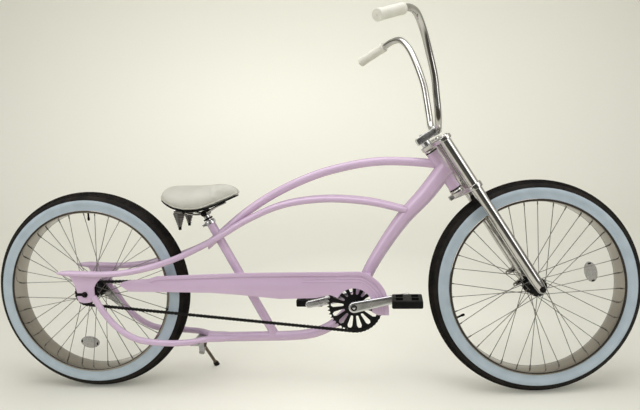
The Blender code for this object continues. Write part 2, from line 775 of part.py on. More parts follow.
def build_stem_and_bar():
    clamp_z = STEM_BLOCK_FOOT + BAR_CLAMP_RISE
    ring = BAR_RADIUS + BAR_CLAMP_WALL
    side_view = ([(-STEM_REAR, STEM_BLOCK_FOOT), (0.022, STEM_BLOCK_FOOT)]
                 + arc((BAR_CLAMP_REACH, clamp_z), ring, -110, 120, 8)
                 + [(0.020, STEM_BLOCK_TOP), (-STEM_REAR + 0.005, STEM_BLOCK_TOP),
                    (-STEM_REAR, STEM_BLOCK_TOP - 0.005)])
    stem = body("stem", plate(side_view, -STEM_HALF_WIDTH, STEM_HALF_WIDTH), "steering", CHROME, 0.2, 1.0)
    collar = rod((0, 0, STEM_FOOT), (0, 0, STEM_BLOCK_FOOT + 0.004), STEM_COLLAR_RADIUS, 16)
    weld(stem, body("stem_collar", collar, "steering", CHROME, 0.2))
    socket = rod((0, 0, STEM_FOOT - 0.01), (0, 0, STEM_BLOCK_TOP - 0.003 + FIT), STEERER_RADIUS + FIT, 16)
    cut(stem, body("stem_socket", socket, "steering", CHROME, 0.2))

    # Half of the handlebar. Columns: x ahead of the steering axis, y out, z over the clamp.
    half = (
        (BAR_CLAMP_REACH, 0.000, 0.000),
        (BAR_CLAMP_REACH, 0.040, 0.000),
        (0.0570, 0.0680, 0.0190),
        (0.0740, 0.0800, 0.0520),
        (0.0950, 0.0880, 0.0960),
        (0.1190, 0.1000, 0.1490),
        (0.1400, 0.1200, 0.2180),
        (0.1540, 0.1480, 0.2800),
        (0.1540, 0.1860, 0.3260),
        (0.1340, 0.2280, 0.3440),
        (0.1080, 0.2620, 0.3480),
        (0.0220, 0.3440, 0.3580),
    )
    stations = [Vector((x, y, z + clamp_z)) for x, y, z in half]
    grip_start, end = stations[-2:]
    left = [point for point in smooth_path(stations, 13.0) if point.y < grip_start.y - 0.004]
    left += [grip_start, end]
    past_end = end + (end - grip_start).normalized() * FIT
    body("handlebar", tube(both_sides(left), BAR_RADIUS, 10), "steering", CHROME, 0.12, 1.0)
    bar_tool = body("handlebar_cutter", tube(both_sides([*left[:-1], past_end]), BAR_RADIUS + FIT, 10),
                    "steering", CHROME, 0.2)
    cut(stem, bar_tool)
    for name, side in (("right", -1), ("left", 1)):
        start = Vector((grip_start.x, side * grip_start.y, grip_start.z))
        finish_point = Vector((end.x, side * end.y, end.z))
        cut(build_grip("grip_" + name, start, finish_point), bar_tool)


def both_sides(left):
    """Path from the right end to the left end, mirrored from its left half."""
    right = [Vector((point.x, -point.y, point.z)) for point in reversed(left)]
    return right[:-1] + left


def build_grip(name, start, end):
    """Sleeve over the bar's straight end, with a lip at each end and a closed outer face."""
    out = (end - start).normalized()
    length = (end - start).length
    lip = GRIP_RADIUS + 0.0015
    section = [(0.0, 0.001), (lip, 0.001), (lip, 0.006), (GRIP_RADIUS, 0.009),
               (GRIP_RADIUS * 0.95, length * 0.5), (GRIP_RADIUS, length - 0.009), (lip, length - 0.005),
               (lip, length + 0.003), (0.0, length + 0.005)]
    turn = Vector((0, 1, 0)).rotation_difference(out).to_matrix().to_4x4()
    sleeve = turned(section, 12, "Y", Matrix.Translation(start) @ turn)
    return body(name, sleeve, "steering", CREAM, 0.6)


def build_head():
    """Head tube and the two black cups that carry the fork."""
    place = steering_matrix(0)
    top = HEAD_TUBE_START + HEAD_TUBE_LENGTH
    rings = (
        ("head_tube", HEAD_TUBE_START, top, HEAD_TUBE_RADIUS, PINK),
        ("headset_lower", HEAD_TUBE_START - HEADSET_HEIGHT - FIT, HEAD_TUBE_START - FIT, HEADSET_RADIUS, BLACK),
        ("headset_upper", top + FIT, top + FIT + HEADSET_HEIGHT, HEADSET_RADIUS, BLACK),
    )
    for name, low, high, radius, colour in rings:
        section = [(HEAD_TUBE_BORE, low), (radius, low), (radius, high), (HEAD_TUBE_BORE, high)]
        body(name, turned(section, 16, "Z", place), "stance", colour, 0.3)
    start = place @ Vector((0, 0, HEAD_TUBE_START - 0.03))
    return body("head_cutter", rod(start, place @ Vector((0, 0, top + 0.03)), HEAD_TUBE_RADIUS + FIT, 16),
                "stance", PINK, 0.3)


def build_main_tubes():
    head_tool = build_head()
    seat_foot = seat_axis(LOWER_TUBE[1][2] + 0.004)
    seat_top = seat_axis(SEAT_TUBE_TOP)
    top_path = smooth_path(TOP_TUBE)
    lower_path = smooth_path(LOWER_TUBE)
    top = body("top_tube", tube(top_path, TOP_TUBE_RADIUS), "stance", PINK, 0.3)
    down = body("down_tube", down_tube_shape(), "stance", PINK, 0.3)
    lower = body("lower_tube", tube(lower_path, LOWER_TUBE_RADIUS, 14), "stance", PINK, 0.3)
    seat = body("seat_tube", rod(seat_foot, seat_top, SEAT_TUBE_RADIUS, 14), "stance", PINK, 0.3)
    bore = SPINDLE_RADIUS + 0.004
    shell = [(bore, -BRACKET_HALF_WIDTH), (BRACKET_RADIUS, -BRACKET_HALF_WIDTH),
             (BRACKET_RADIUS, BRACKET_HALF_WIDTH), (bore, BRACKET_HALF_WIDTH)]
    body("bottom_bracket", turned(shell, 20, "Y", Matrix.Translation(BRACKET)), "stance", PINK, 0.3)

    # The top tube's tail, cut on the slant, behind the seat tube
    way = (Vector(TOP_TUBE[-1]) - Vector(TOP_TUBE[-2])).normalized()
    tail_end = Vector(TOP_TUBE[-1]) + way * (SEAT_TUBE_RADIUS + TAIL_LENGTH)
    tail = body("top_tube_tail", rod(TOP_TUBE[-1], tail_end, TOP_TUBE_RADIUS, 12), "stance", PINK, 0.3)
    slant = box((-0.05, -0.03, 0), (0.05, 0.03, 0.05))
    slant.transform(Matrix.Translation(tail_end) @ Matrix.Rotation(TAIL_SLANT, 4, "Y"))
    cut(tail, body("tail_cutter", slant, "stance", PINK, 0.3))
    weld(seat, tail)

    down_tool = body("down_cutter", down_tube_shape(FIT), "stance", PINK, 0.3)
    shell_bar = rod(BRACKET - Vector((0, 0.06, 0)), BRACKET + Vector((0, 0.06, 0)), BRACKET_RADIUS + FIT, 20)
    shell_tool = body("shell_cutter", shell_bar, "stance", PINK, 0.3)
    lower_tool = body("lower_cutter", tube(lower_path, LOWER_TUBE_RADIUS + FIT, 14), "stance", PINK, 0.3)
    seat_tool = body("seat_cutter", rod(seat_foot, seat_top, SEAT_TUBE_RADIUS + FIT, 14), "stance", PINK, 0.3)
    for tube_object, cutters in ((top, (down_tool, head_tool, seat_tool)), (down, (head_tool, shell_tool)),
                                 (lower, (shell_tool,)), (seat, (lower_tool,))):
        for cutter in cutters:
            cut(tube_object, cutter)
    for name, side in (("right", -1), ("left", 1)):
        rail = body("rail_" + name, tube(rail_path(side), sides=10), "stance", PINK, 0.3)
        cut(rail, down_tool)
        stay = body("lower_stay_" + name, tube(stay_path(side), LOWER_STAY_RADIUS, 10), "stance", PINK, 0.3)
        cut(stay, lower_tool)
        build_rear_end(name, side)


def build_rear_end(name, side):
    """Plate that hangs from the rail, with an axle slot open to the rear."""
    x = REAR_AXLE.x
    z = REAR_AXLE.z
    slot = AXLE_SLOT_HEIGHT / 2
    outline = ([(x - 0.058, z + 0.073), (x - 0.033, z + 0.031), (x - 0.028, z + slot)]
               + arc((x, z), slot, 90, -90, 6)
               + [(x - 0.030, z - slot), (x - 0.026, z - 0.024), (x - 0.006, z - 0.030), (x + 0.026, z - 0.026),
                  (x + 0.034, z - 0.004), (x + 0.033, z + 0.024), (x + 0.040, z + 0.035), (x + 0.056, z + 0.052),
                  (x + 0.075, z + 0.073)])
    low = side * PLATE_OFFSET - PLATE_THICKNESS / 2
    high = side * PLATE_OFFSET + PLATE_THICKNESS / 2
    end = body("dropout_" + name, plate(outline, low, high), "stance", PINK, 0.3)
    cut(end, body("rail_cutter_" + name, tube(rail_path(side, FIT), sides=10), "stance", PINK, 0.3))
    stay = tube(stay_path(side), LOWER_STAY_RADIUS + FIT, 10)
    cut(end, body("stay_cutter_" + name, stay, "stance", PINK, 0.3))


def build_rear_axle():
    inner = PLATE_OFFSET - PLATE_THICKNESS / 2 - FIT
    outer = PLATE_OFFSET + PLATE_THICKNESS / 2 + FIT
    nut_top = outer + NUT_HEIGHT
    right_hub = REAR_HUB_RIGHT + SPROCKET_BOSS_LENGTH
    arm_outer = BRAKE_ARM_OFFSET + BRAKE_ARM_THICKNESS / 2 + FIT
    collars = [(NUT_RADIUS, -nut_top, -outer), (SPACER_RADIUS, -inner, -right_hub - RUNNING),
               (BRAKE_COLLAR_RADIUS, arm_outer, inner), (NUT_RADIUS, outer, nut_top)]
    axle = axle_with_nuts(nut_top + 0.006, collars)
    axle.transform(Matrix.Translation(REAR_AXLE))
    body("rear_axle", axle, "stance", BLACK, 0.4, 0.6)

    # Reaction arm of the back-pedal brake, from the hub to the left lower stay
    foot = stay_point(1, frame_z(-0.082))
    hub = (REAR_AXLE.x, REAR_AXLE.z)
    way = Vector((foot.x - hub[0], foot.z - hub[1])).normalized() * BRAKE_ARM_LENGTH
    tip = (hub[0] + way.x, hub[1] + way.y)
    low = BRAKE_ARM_OFFSET - BRAKE_ARM_THICKNESS / 2
    high = BRAKE_ARM_OFFSET + BRAKE_ARM_THICKNESS / 2
    outline = link_outline(hub, BRAKE_HUB_RADIUS, tip, BRAKE_TIP_RADIUS)
    arm = body("brake_arm", plate(outline, low, high), "stance", BLACK, 0.4, 0.5)
    hole = rod((hub[0], low - 0.01, hub[1]), (hub[0], high + 0.01, hub[1]), AXLE_RADIUS + FIT)
    cut(arm, body("brake_arm_hole", hole, "stance", BLACK, 0.4))
    pin_end = STAY_HALF_SPREAD - LOWER_STAY_RADIUS + 0.004
    pin = rod((tip[0], high - 0.001, tip[1]), (tip[0], pin_end, tip[1]), BRAKE_PIN_RADIUS, 10)
    weld(arm, body("brake_arm_pin", pin, "stance", BLACK, 0.4))
    stay = tube(stay_path(1), LOWER_STAY_RADIUS + FIT, 10)
    cut(arm, body("brake_arm_seat", stay, "stance", BLACK, 0.4))


def stay_point(side, z):
    """Where a lower stay's rear stretch passes a height."""
    path = stay_path(side)
    for a, b in zip(path, path[1:]):
        if a.z <= z <= b.z and b.z > a.z and a.x < -0.5:
            return a + (b - a) * (z - a.z) / (b.z - a.z)
    return path[-1]


def toothed_outline(teeth):
    """Gear outline in the XZ plane: a root on each side of every pointed tooth."""
    root = PITCH / (2 * sin(pi / teeth)) - TOOTH_ROOT_DEPTH
    points = []
    for tooth in range(teeth):
        for share, radius in ((-0.28, root), (0.0, root + TOOTH_HEIGHT), (0.28, root)):
            a = 2 * pi * (tooth + share) / teeth
            points.append((radius * cos(a), radius * sin(a)))
    return points


def build_chainring():
    low = -CHAIN_LINE - TOOTH_THICKNESS / 2
    high = -CHAIN_LINE + TOOTH_THICKNESS / 2
    ring = body("chainring", plate(toothed_outline(RING_TEETH), low, high), "crank", BLACK, 0.35, 0.3)
    slots = []
    for k in range(SLOT_COUNT):
        outline = link_outline((0.072, 0), 0.0082, (0.040, 0), 0.0042, 3)
        slot = plate(outline, low - 0.005, high + 0.005)
        slot.transform(Matrix.Rotation(2 * pi * (k + 0.5) / SLOT_COUNT, 4, "Y"))
        slots.append(slot)
    cut(ring, body("chainring_slots", merge(*slots), "crank", BLACK, 0.3))
    hole = rod((0, low - 0.005, 0), (0, high + 0.005, 0), SPINDLE_RADIUS + FIT, 16)
    cut(ring, body("chainring_hole", hole, "crank", BLACK, 0.3))


def build_sprocket():
    """Driven sprocket with its carrier boss, free on the rear axle."""
    low = -CHAIN_LINE - TOOTH_THICKNESS / 2
    high = -CHAIN_LINE + TOOTH_THICKNESS / 2
    outline = toothed_outline(SPROCKET_TEETH)
    wheel = body("sprocket", plate(outline, low, high), "sprocket_carrier", BLACK, 0.35, 0.3)
    boss_outer = REAR_HUB_RIGHT + SPROCKET_BOSS_LENGTH
    boss_inner = REAR_HUB_RIGHT + RUNNING + 0.0006
    boss = rod((0, -boss_outer, 0), (0, -boss_inner, 0), SPROCKET_BOSS_RADIUS, 20)
    weld(wheel, body("sprocket_boss", boss, "sprocket_carrier", BLACK, 0.35))
    bore = rod((0, -boss_outer - 0.01, 0), (0, 0, 0), AXLE_RADIUS + RUNNING, 16)
    cut(wheel, body("sprocket_bore", bore, "sprocket_carrier", BLACK, 0.35))


def build_crank():
    spindle = rod((0, -CRANK_INNER - CRANK_THICKNESS / 2, 0), (0, CRANK_INNER + CRANK_THICKNESS / 2, 0),
                  SPINDLE_RADIUS, 16)
    body("crank_spindle", spindle, "crank", SILVER, 0.3, 1.0)
    for name, side in (("right", -1), ("left", 1)):
        reach = -side * CRANK_LENGTH
        low, high = sorted((side * CRANK_INNER, side * (CRANK_INNER + CRANK_THICKNESS)))
        outline = link_outline((0, 0), CRANK_BOSS_RADIUS, (reach, 0), CRANK_EYE_RADIUS, 6)
        arm = body("crank_arm_" + name, plate(outline, low, high), "crank", SILVER, 0.25, 1.0)
        bevel(arm, 0.0035, 1)
        spider_end = CHAIN_LINE + TOOTH_THICKNESS / 2 + FIT if side < 0 else BRACKET_HALF_WIDTH + 0.006
        boss = rod((0, side * spider_end, 0), (0, side * (CRANK_INNER + 0.002), 0), CRANK_NECK_RADIUS, 20)
        weld(arm, body("crank_boss_" + name, boss, "crank", SILVER, 0.3))
        stub_end = CRANK_INNER + CRANK_THICKNESS + PEDAL_GAP + PEDAL_WIDTH - 0.004
        stub = rod((reach, side * (CRANK_INNER + 0.002), 0), (reach, side * stub_end, 0),
                   PEDAL_SPINDLE_RADIUS, 12)
        weld(arm, body("pedal_spindle_" + name, stub, "crank", SILVER, 0.3))
        bore_end = CRANK_INNER + CRANK_THICKNESS / 2 + FIT
        bore = rod((0, 0, 0), (0, side * bore_end, 0), SPINDLE_RADIUS + FIT, 16)
        cut(arm, body("crank_bore_" + name, bore, "crank", SILVER, 0.3))
        build_pedal(name, side)


def build_pedal(name, side):
    """Platform pedal: a bored centre, two tread bars and two end plates round two windows."""
    inner = CRANK_INNER + CRANK_THICKNESS + PEDAL_GAP
    outer = inner + PEDAL_WIDTH
    low, high = sorted((side * inner, side * outer))
    half = PEDAL_LENGTH / 2
    flat = PEDAL_THICKNESS / 2
    block = box((-half, low, -flat), (half, high, flat))
    pedal = body("pedal_" + name, block, "pedal_axis_" + name, BLACK, 0.5)
    bevel(pedal, 0.003, 1)
    windows = []
    for way in (-1, 1):
        x0, x1 = sorted((way * PEDAL_WINDOW_START, way * PEDAL_WINDOW_END))
        windows.append(box((x0, low + PEDAL_WINDOW_INSET, -flat - 0.01),
                           (x1, high - PEDAL_WINDOW_INSET, flat + 0.01)))
    cut(pedal, body("pedal_windows_" + name, merge(*windows), "pedal_axis_" + name, BLACK, 0.5))
    depth = PEDAL_WIDTH - 0.004 + RUNNING
    bore = rod((0, side * (inner - 0.01), 0), (0, side * (inner + depth), 0),
               PEDAL_SPINDLE_RADIUS + RUNNING, 14)
    cut(pedal, body("pedal_bore_" + name, bore, "pedal_axis_" + name, BLACK, 0.5))


def chain_centreline():
    """Points a pitch apart round both sprockets, with the outward direction at each."""
    ring_radius = PITCH / (2 * sin(pi / RING_TEETH))
    small_radius = PITCH / (2 * sin(pi / SPROCKET_TEETH))
    front = Vector((BRACKET.x, BRACKET.z))
    rear = Vector((REAR_AXLE.x, REAR_AXLE.z))
    between = front - rear
    along = atan2(between.y, between.x)
    spread = asin((ring_radius - small_radius) / between.length)
    top = along + pi / 2 + spread
    foot = along - pi / 2 - spread
    run = sqrt(between.length ** 2 - (ring_radius - small_radius) ** 2)
    wrap_front = ring_radius * (top - foot)
    wrap_rear = small_radius * (2 * pi - (top - foot))
    total = 2 * run + wrap_front + wrap_rear
    count = 2 * round(total / PITCH / 2)
    stations = []
    for i in range(count):
        s = total * i / count
        if s < run:
            direction = Vector((cos(foot), sin(foot)))
            start = rear + direction * small_radius
            end = front + direction * ring_radius
            point = start + (end - start) * (s / run)
        elif s < run + wrap_front:
            angle = foot + (s - run) / ring_radius
            direction = Vector((cos(angle), sin(angle)))
            point = front + direction * ring_radius
        elif s < 2 * run + wrap_front:
            direction = Vector((cos(top), sin(top)))
            start = front + direction * ring_radius
            end = rear + direction * small_radius
            point = start + (end - start) * ((s - run - wrap_front) / run)
        else:
            angle = top + (s - 2 * run - wrap_front) / small_radius
            direction = Vector((cos(angle), sin(angle)))
            point = rear + direction * small_radius
        stations.append((point, direction))
    return stations


def build_chain():
    """One closed loop of links with a waisted outline, grooved where it lies on the teeth."""
    bm = bmesh.new()
    rings = []
    for i, (point, outward) in enumerate(chain_centreline()):
        height = (CHAIN_PIN_HEIGHT if i % 2 == 0 else CHAIN_WAIST_HEIGHT) / 2
        ring = []
        for out, y in ((1, -1), (1, 1), (-1, 1), (-1, -1)):
            place = point + outward * height * out
            ring.append(bm.verts.new((place.x, -CHAIN_LINE + y * CHAIN_WIDTH / 2, place.y)))
        rings.append(ring)
    for a, b in zip(rings, rings[1:] + rings[:1]):
        for i in range(4):
            j = (i + 1) % 4
            bm.faces.new((a[i], a[j], b[j], b[i]))
    chain = body("chain", bm, "stance", BLACK, 0.4, 0.6, sharp=20)
    grooves = (
        ("chain_groove_front", BRACKET, RING_TEETH),
        ("chain_groove_rear", REAR_AXLE, SPROCKET_TEETH),
    )
    for name, centre, teeth in grooves:
        reach = PITCH / (2 * sin(pi / teeth)) + CHAIN_PIN_HEIGHT / 2 + 0.002
        disc = rod(centre - Vector((0, CHAIN_LINE + CHAIN_GROOVE / 2, 0)),
                   centre - Vector((0, CHAIN_LINE - CHAIN_GROOVE / 2, 0)), reach, 32)
        cut(chain, body(name, disc, "stance", BLACK, 0.4))


def build_guard():
    """Pressed sheet over the chain's upper run, with a proud rim and two tabs to the frame."""
    # Rear and underside: share of the way from the rear axle to the head tube, height over the axles.
    # Nose: distance ahead of the bottom bracket, height over the axles.
    rear_drawn = ((0.09942, 0.032), (0.11002, 0.042), (0.1361, 0.049), (0.18662, 0.052),
                 (0.21107, 0.061), (0.30642, 0.064), (0.44414, 0.069), (0.61854, 0.069))
    nose_drawn = ((0.021, 0.069), (0.044, 0.062), (0.066, 0.048), (0.086, 0.030), (0.100, 0.008),
                 (0.109, -0.016), (0.113, -0.050), (0.113, -0.078))
    under_drawn = ((0.8182, -0.078), (0.79701, -0.064), (0.69189, -0.009), (0.65195, -0.019),
                  (0.55416, -0.021), (0.44088, -0.006), (0.35694, 0.002), (0.12795, 0.008))
    rear = [(frame_x(share), frame_z(height)) for share, height in rear_drawn]
    nose = [(BRACKET.x + ahead, frame_z(height)) for ahead, height in nose_drawn]
    under = [(frame_x(share), frame_z(height)) for share, height in under_drawn]
    outer = -GUARD_INNER - GUARD_THICKNESS
    sheet = plate([*rear, *nose, *under], outer, -GUARD_INNER)
    guard = body("chain_guard", sheet, "stance", PINK, 0.3)
    upper = [Vector(p) for p in [*rear[3:], *nose]]
    lower = []
    for i, point in enumerate(upper):
        a = upper[max(i - 1, 0)]
        b = upper[min(i + 1, len(upper) - 1)]
        way = (b - a).normalized()
        lower.append(point + Vector((way.y, -way.x)) * GUARD_RIM_WIDTH)
    strip = plate([*upper, *reversed(lower)], outer - GUARD_RIM_PROUD, -GUARD_INNER - GUARD_THICKNESS / 2)
    weld(guard, body("guard_rim", strip, "stance", PINK, 0.3))
    window = rod(BRACKET - Vector((0, GUARD_INNER + 0.02, 0)), BRACKET - Vector((0, GUARD_INNER - 0.01, 0)),
                 GUARD_WINDOW_RADIUS, 40)
    cut(guard, body("guard_window", window, "stance", PINK, 0.3))
    tab_z = frame_z(0.0545)
    carriers = (
        ("rear", seat_axis(tab_z).x, SEAT_TUBE_RADIUS),
        ("front", frame_x(0.79416), DOWN_TUBE_FOOT_RADIUS + 0.0006),
    )
    for name, x, radius in carriers:
        tab = box((x - GUARD_TAB_WIDTH / 2, -GUARD_INNER - GUARD_THICKNESS / 2, tab_z),
                  (x + GUARD_TAB_WIDTH / 2, -radius * 0.5, tab_z + GUARD_TAB_THICKNESS))
        weld(guard, body("guard_tab_" + name, tab, "stance", PINK, 0.3))
    seat_tool = rod(seat_axis(tab_z - 0.05), seat_axis(tab_z + 0.05), SEAT_TUBE_RADIUS + FIT, 14)
    cut(guard, body("guard_seat_tube_cutter", seat_tool, "stance", PINK, 0.3))
    cut(guard, body("guard_down_tube_cutter", down_tube_shape(FIT), "stance", PINK, 0.3))


# The saddle's stations from tail to nose, set out from the clamp on the seat post.
# Columns: x ahead, half width, skirt height, crown height.
SADDLE = tuple(
    (SADDLE_CLAMP.x + ahead, half, SADDLE_CLAMP.z + skirt, SADDLE_CLAMP.z + crown)
    for ahead, half, skirt, crown in (
        (-0.1574, 0.055, 0.078, 0.095),
        (-0.1454, 0.088, 0.067, 0.103),
        (-0.1154, 0.108, 0.055, 0.107),
        (-0.0804, 0.114, 0.042, 0.106),
        (-0.0404, 0.110, 0.032, 0.104),
        (-0.0004, 0.093, 0.031, 0.104),
        (0.0346, 0.068, 0.040, 0.106),
        (0.0696, 0.045, 0.054, 0.109),
        (0.0996, 0.031, 0.066, 0.106),
        (0.1196, 0.018, 0.075, 0.095),
    )
)


def loft_stations(shape):
    """Closed loft through rings; shape(station) gives each ring's points in the same order."""
    bm = bmesh.new()
    rings = [[bm.verts.new(point) for point in ring] for ring in shape]
    for a, b in zip(rings, rings[1:]):
        for i in range(len(a)):
            j = (i + 1) % len(a)
            bm.faces.new((a[i], a[j], b[j], b[i]))
    bm.faces.new(rings[0])
    bm.faces.new(list(reversed(rings[-1])))
    return bm


def build_saddle():
    pad_rings = []
    pan_rings = []
    for x, half, skirt, crown in SADDLE:
        ring = []
        for k in range(13):
            a = pi * k / 12
            ring.append((x, half * cos(a), skirt + (crown - skirt) * sin(a) ** 0.7))
        ring += [(x, -half * 0.6, skirt + 0.002), (x, 0, skirt + 0.002), (x, half * 0.6, skirt + 0.002)]
        pad_rings.append(ring)
        top = skirt - FIT
        edge = PAN_SHARE * half
        pan_rings.append([(x, edge, top), (x, 0, top), (x, -edge, top), (x, -edge, top - PAN_THICKNESS),
                          (x, 0, top - PAN_THICKNESS), (x, edge, top - PAN_THICKNESS)])
    body("saddle", loft_stations(pad_rings), "stance", CREAM, 0.55, sharp=60)
    body("saddle_pan", loft_stations(pan_rings[1:-1]), "stance", BLACK, 0.5)


def pan_height(x):
    """Underside of the saddle's pan at a place along it."""
    for a, b in zip(SADDLE, SADDLE[1:]):
        if a[0] <= x <= b[0]:
            share = (x - a[0]) / (b[0] - a[0])
            return a[2] + (b[2] - a[2]) * share - FIT - PAN_THICKNESS
    return SADDLE[0][2] - FIT - PAN_THICKNESS


def spring_cone():
    """Conical spring as one turned body, a bead for each coil, with its bolt at the tip."""
    section = [(0.0, SPRING_TOP_Z)]
    drop = (SPRING_TOP_Z - SPRING_TIP_Z) / SPRING_COILS
    taper = (SPRING_TOP_RADIUS - SPRING_TIP_RADIUS) / SPRING_COILS
    for coil in range(SPRING_COILS):
        radius = SPRING_TOP_RADIUS - taper * coil
        z = SPRING_TOP_Z - drop * coil
        section += [(radius - 0.0015, z), (radius, z - drop * 0.5)]
    section += [(SPRING_TIP_RADIUS, SPRING_TIP_Z), (0.0045, SPRING_TIP_Z), (0.0045, SPRING_TIP_Z - 0.009),
                (0.0, SPRING_TIP_Z - 0.009)]
    return section


def build_seat():
    top = seat_axis(SEAT_TUBE_TOP)
    clamp = SADDLE_CLAMP
    up = (clamp - top).normalized()
    body("seat_post", rod(top + up * FIT, clamp, SEAT_POST_RADIUS, 14), "stance", SILVER, 0.3, 1.0)

    # Black collar round the seat tube's mouth, with its binder bolt behind
    wall = SEAT_TUBE_RADIUS + FIT + SEAT_COLLAR_WALL
    collar = body("seat_collar", rod(top - up * SEAT_COLLAR_HEIGHT, top - up * 0.001, wall, 16),
                  "stance", BLACK, 0.35, 0.5)
    lug_centre = top - up * (SEAT_COLLAR_HEIGHT / 2)
    lug = box((-0.028, -0.010, -0.0055), (-0.012, 0.010, 0.0055))
    lug.transform(Matrix.Translation(lug_centre) @ Matrix.Rotation(-SEAT_TUBE_LEAN, 4, "Y"))
    weld(collar, body("seat_collar_lug", lug, "stance", BLACK, 0.35))
    mouth = rod(top - up * 0.05, top + up * 0.01, SEAT_TUBE_RADIUS + FIT, 14)
    cut(collar, body("seat_collar_bore", mouth, "stance", BLACK, 0.35))

    # Chrome carrier: clamp drum on the post, two wires, rear bracket and the pair of springs
    rail_z = clamp.z + SADDLE_DRUM_RADIUS + 0.0008
    drum_x = clamp.x - 0.002
    front_x = clamp.x + 0.0666
    bend_x = clamp.x + 0.0346
    drum = rod((drum_x, -SADDLE_DRUM_HALF, rail_z), (drum_x, SADDLE_DRUM_HALF, rail_z), SADDLE_DRUM_RADIUS, 14)
    frame = body("saddle_frame", drum, "stance", CHROME, 0.3, 1.0)
    bracket_top = pan_height(SPRING_X + BRACKET_HALF_LENGTH) - FIT
    for name, side in (("right", -1), ("left", 1)):
        y = side * SADDLE_RAIL_SPREAD
        wire = smooth_path([
            (front_x, y * 0.6, pan_height(front_x) - SADDLE_RAIL_RADIUS - FIT),
            (bend_x, y * 0.9, pan_height(bend_x) - SADDLE_RAIL_RADIUS - 0.001),
            (drum_x, y, rail_z),
            (drum_x - 0.036, y * 1.2, rail_z - 0.002),
            (SPRING_X, side * SPRING_HALF_SPREAD * 0.8, SPRING_TOP_Z),
        ], 20.0)
        weld(frame, body("saddle_wire_" + name, tube(wire, SADDLE_RAIL_RADIUS, 6), "stance", CHROME, 0.3))
        cone = turned(spring_cone(), 10, "Z", Matrix.Translation((SPRING_X, side * SPRING_HALF_SPREAD, 0)))
        weld(frame, body("saddle_spring_" + name, cone, "stance", CHROME, 0.3))
    bracket = box((SPRING_X - BRACKET_HALF_LENGTH, -SPRING_HALF_SPREAD - 0.020, SPRING_TOP_Z - 0.002),
                  (SPRING_X + BRACKET_HALF_LENGTH, SPRING_HALF_SPREAD + 0.020, bracket_top))
    weld(frame, body("saddle_bracket", bracket, "stance", CHROME, 0.3))
    post_tool = rod(top, clamp + up * FIT, SEAT_POST_RADIUS + FIT, 14)
    cut(frame, body("saddle_frame_socket", post_tool, "stance", CHROME, 0.3))


def stand_directions():
    """Unit vectors from the stand's pivot to its foot when down, and along the pivot's axis."""
    down = Vector((sin(STAND_RAKE), sin(STAND_SPLAY), -cos(STAND_SPLAY))).normalized()
    return down, down.cross(STAND_FOLD).normalized()


def build_stand():
    """Cast bridge under the lower stays and the leg that swings on its pin."""
    pivot = Vector((STAND_X, STAND_Y, STAND_Z))
    down, axis = stand_directions()
    stance = stance_matrix()
    length = -(stance @ pivot).z / (stance.to_3x3() @ down).z
    shape = ((0.0, STAND_ROD_RADIUS), (0.72, STAND_ROD_RADIUS), (0.90, STAND_FOOT_RADIUS),
             (1.08, STAND_FOOT_RADIUS))
    path = [down * length * share for share, radius in shape]
    leg = body("side_stand", tube(path, [radius for share, radius in shape], 12),
               "stand_pivot", SILVER, 0.35, 1.0)
    # The flared foot is sawn off level with the ground
    ground = box((STAND_X - 0.3, -0.3, -0.1), (STAND_X + 0.3, 0.3, 0))
    ground.transform(Matrix.Translation(-pivot) @ stance.inverted())
    cut(leg, body("stand_sole_cutter", ground, "stand_pivot", SILVER, 0.35))
    half = STAND_BOSS_RADIUS
    weld(leg, body("stand_boss", rod(-axis * half, axis * half, half, 14), "stand_pivot", SILVER, 0.35))
    bore = rod(-axis * 0.03, axis * 0.03, STAND_PIN_RADIUS + RUNNING, 12)
    cut(leg, body("stand_bore", bore, "stand_pivot", SILVER, 0.35))

    seat_z = LOWER_STAY[0][2]
    plate_foot = seat_z - LOWER_STAY_RADIUS - BRIDGE_THICKNESS / 2
    near = STAY_HALF_SPREAD * 0.76
    bridge = box((STAND_X - BRIDGE_LENGTH / 2, -near, plate_foot),
                 (STAND_X + BRIDGE_LENGTH / 2, near, plate_foot + BRIDGE_THICKNESS))
    bracket = body("stand_bracket", bridge, "stance", SILVER, 0.35, 1.0)
    reach = half + RUNNING
    housing = rod(pivot - axis * (reach + 0.022), pivot - axis * reach, 0.0100, 14)
    weld(bracket, body("stand_housing", housing, "stance", SILVER, 0.35))
    web_middle = pivot - axis * (reach + 0.012)
    web = box((web_middle.x - 0.008, web_middle.y - 0.010, web_middle.z),
              (web_middle.x + 0.008, web_middle.y - 0.0005, plate_foot + 0.002))
    weld(bracket, body("stand_web", web, "stance", SILVER, 0.35))
    pin = rod(pivot - axis * (reach + 0.004), pivot + axis * (reach + 0.002), STAND_PIN_RADIUS, 12)
    weld(bracket, body("stand_pin", pin, "stance", SILVER, 0.35))
    cap = rod(pivot + axis * reach, pivot + axis * (reach + 0.0035), 0.0080, 12)
    weld(bracket, body("stand_pin_head", cap, "stance", SILVER, 0.35))
    for name, side in (("right", -1), ("left", 1)):
        stay = tube(stay_path(side), LOWER_STAY_RADIUS + FIT, 10)
        cut(bracket, body("stand_stay_cutter_" + name, stay, "stance", SILVER, 0.35))


def centre_on_box():
    """Shift the whole bicycle so that its box's bottom centre, tyres on the ground, is the origin."""
    bpy.context.view_layer.update()
    graph = bpy.context.evaluated_depsgraph_get()
    corners = []
    for item in bpy.context.scene.objects:
        if item.type == "MESH" and not item.hide_render:
            shown = item.evaluated_get(graph)
            corners += [item.matrix_world @ vertex.co for vertex in shown.data.vertices]
    xs = [corner.x for corner in corners]
    ys = [corner.y for corner in corners]
    shift = Vector((-(min(xs) + max(xs)) / 2, -(min(ys) + max(ys)) / 2, 0))
    hangers["stance"].matrix_basis = Matrix.Translation(shift) @ hangers["stance"].matrix_basis


